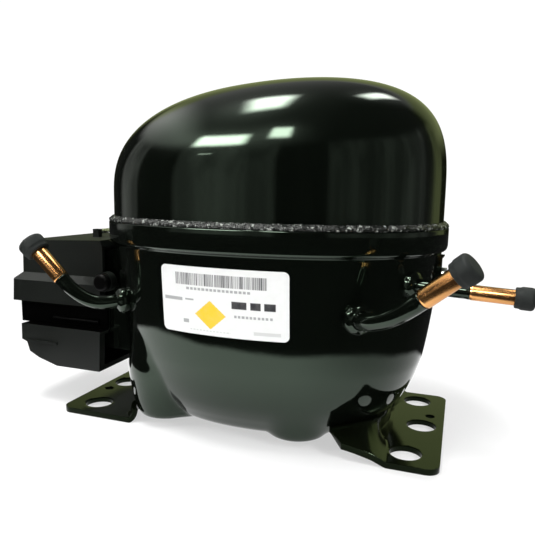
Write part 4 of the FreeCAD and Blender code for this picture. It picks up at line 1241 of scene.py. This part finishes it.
def build_world():
    """A room seen only in reflections, even light for the rest and white for the camera."""
    world = bpy.data.worlds.new("studio")
    bpy.context.scene.world = world
    world.use_nodes = True
    g = Graph(world.node_tree)
    step, band = g.step, g.band

    direction = g.value("TexCoord", output="Generated")
    dx, dy, dz = g.separate(direction)
    bearing = g.math("ARCTAN2", dx, dy * -1.0) * DEGREES
    sine = g.math("MINIMUM", g.math("MAXIMUM", dz, -1.0), 1.0)
    height = g.math("ARCSINE", sine) * DEGREES

    # walls, mottled in upright streaks
    streaks = g.value("TexNoise", Scale=5.0, Detail=4.0,
                      Vector=g.value("Mapping", Scale=(1.0, 1.0, 0.28), Vector=direction))
    mottle = g.math("MULTIPLY_ADD", step(streaks, 0.36, 0.66), 0.8, 0.6)
    panels = [band(bearing, low, high, soft) * level for low, high, level, soft in WALL_PANELS]
    walls = panels[0]
    for panel in panels[1:]:
        walls = walls + panel
    walls = (walls + 0.015) * mottle * step(height, -9.0, -3.0)

    # ceiling, lighter towards -X
    ceiling = g.math("MULTIPLY_ADD", step(dx, 0.50, -0.50), 0.29, 0.035)
    ceiling = ceiling + step(dx, -0.54, -0.76) * step(height, 20.0, 46.0) * 1.5
    overhead = step(height, 22.0, 30.0)
    room = walls * (1.0 - overhead) + ceiling * overhead
    # the +Y side of the room, above bench height
    back = step(abs(bearing), 128.0, 150.0) * band(height, 10.0, 44.0, 6.0) * 0.38
    room = g.math("MAXIMUM", room, back)

    def glow(x, y, centre, size, level):
        part_x = abs((x - centre[0]) * (1.0 / size[0])) ** 2.0
        part_y = abs((y - centre[1]) * (1.0 / size[1])) ** 2.0
        return g.math("EXPONENT", (part_x + part_y) * -1.0) * level

    # windows and lamps: two overhead, two on the front wall and a thin strip
    upper = step(height, 40.0, 46.0)
    overhead_left = band(dx, -0.37, -0.15, 0.06) * band(dy, -0.27, 0.11, 0.09) * upper
    overhead_right = band(dx, 0.225, 0.35, 0.04) * band(dy, 0.26, 0.56, 0.08) * upper
    front_left = band(bearing, -45.5, -21.0, 3.2) * band(height, 27.0, 36.0, 2.2)
    front_middle = band(bearing, -9.0, 3.5, 2.2) * band(height, 32.5, 43.0, 2.6)
    strip = band(bearing, -39.0, -32.0, 0.8) * band(height, 19.4, 20.2, 0.3)
    halo = (glow(dx, dy, centre=(-0.29, -0.12), size=(0.17, 0.26), level=1.4) * upper
            + glow(bearing, height, centre=(-38.0, 33.0), size=(26.0, 8.0), level=1.0)
            + glow(bearing, height, centre=(-4.0, 39.0), size=(14.0, 9.0), level=0.6)
            + glow(dx, dy, centre=(0.29, 0.41), size=(0.14, 0.22), level=0.5) * upper)
    lamps = (overhead_left * 24.0 + overhead_right * 13.0 + front_left * 30.0
             + front_middle * 24.0 + strip * 7.0 + halo)

    # the low +Y side of the room is tinted yellow-green
    greenish = step(abs(bearing), 118.0, 138.0) * step(height, 44.0, 34.0)
    tint = g.mix(greenish, (1.0, 1.0, 0.97), (0.88, 1.0, 0.44))
    reflected = g.value("Background", Color=tint, Strength=room + lamps)
    ambient = g.value("Background", Color=(1.0, 1.0, 1.0), Strength=0.42)
    backdrop = g.value("Background", Color=(1, 1, 1), Strength=1.05)
    rays = g.add("LightPath").outputs
    shader = g.mix_shader(Signal(g, rays["Is Glossy Ray"]), ambient, reflected)
    shader = g.mix_shader(Signal(g, rays["Is Camera Ray"]), shader, backdrop)
    g.add("OutputWorld", Surface=shader)


build_world()

# ------------------------------------------------------------------ lights
LIGHT_TARGET = Vector((0, 0, 0.1))
# name, place, size (x, y), power in watts
LIGHTS = [
    ("key_top", (-0.25, -0.15, 1.15), (0.55, 0.30), 16),
    ("fill_left", (-1.0, -0.7, 0.75), (0.30, 0.7), 7),
    ("fill_right", (1.05, -0.5, 0.8), (0.35, 0.6), 8),
    ("back", (0.2, 1.1, 0.9), (0.9, 0.4), 6),
]

for name, place, size, power in LIGHTS:
    light = bpy.data.lights.new(name, "AREA")
    light.shape = "RECTANGLE"
    light.size, light.size_y = size
    light.energy = power
    obj = add_object(name, light)
    obj.location = place
    obj.rotation_euler = (LIGHT_TARGET - Vector(place)).to_track_quat("-Z", "Y").to_euler()
    obj.visible_glossy = False

# ------------------------------------------------------------------ camera
CAMERA_PLACE = Vector((103.163, -285.386, 121.808))
CAMERA_LENS, CAMERA_SENSOR = 36.148154, 36.0
CAMERA_PITCH = math.radians(8.189)  # downwards
CAMERA_YAW = math.radians(19.376)   # from +Y towards -X
CAMERA_ROLL = math.radians(0.945)


def build_camera():
    ahead = Vector((-math.sin(CAMERA_YAW), math.cos(CAMERA_YAW), 0))
    level_right = Vector((math.cos(CAMERA_YAW), math.sin(CAMERA_YAW), 0))
    view = ahead * math.cos(CAMERA_PITCH) - UP * math.sin(CAMERA_PITCH)
    level_up = ahead * math.sin(CAMERA_PITCH) + UP * math.cos(CAMERA_PITCH)
    right = level_right * math.cos(CAMERA_ROLL) + level_up * math.sin(CAMERA_ROLL)
    up = level_up * math.cos(CAMERA_ROLL) - level_right * math.sin(CAMERA_ROLL)
    camera = bpy.data.cameras.new("camera")
    camera.sensor_width = CAMERA_SENSOR
    camera.lens = CAMERA_LENS
    camera.clip_start = 0.01
    obj = add_object("camera", camera)
    pose = Matrix.Identity(4)
    for k in range(3):
        pose[k] = (right[k], up[k], -view[k], CAMERA_PLACE[k] * MM)
    obj.matrix_world = pose
    bpy.context.scene.camera = obj


build_camera()
bpy.context.scene.view_settings.view_transform = "Standard"
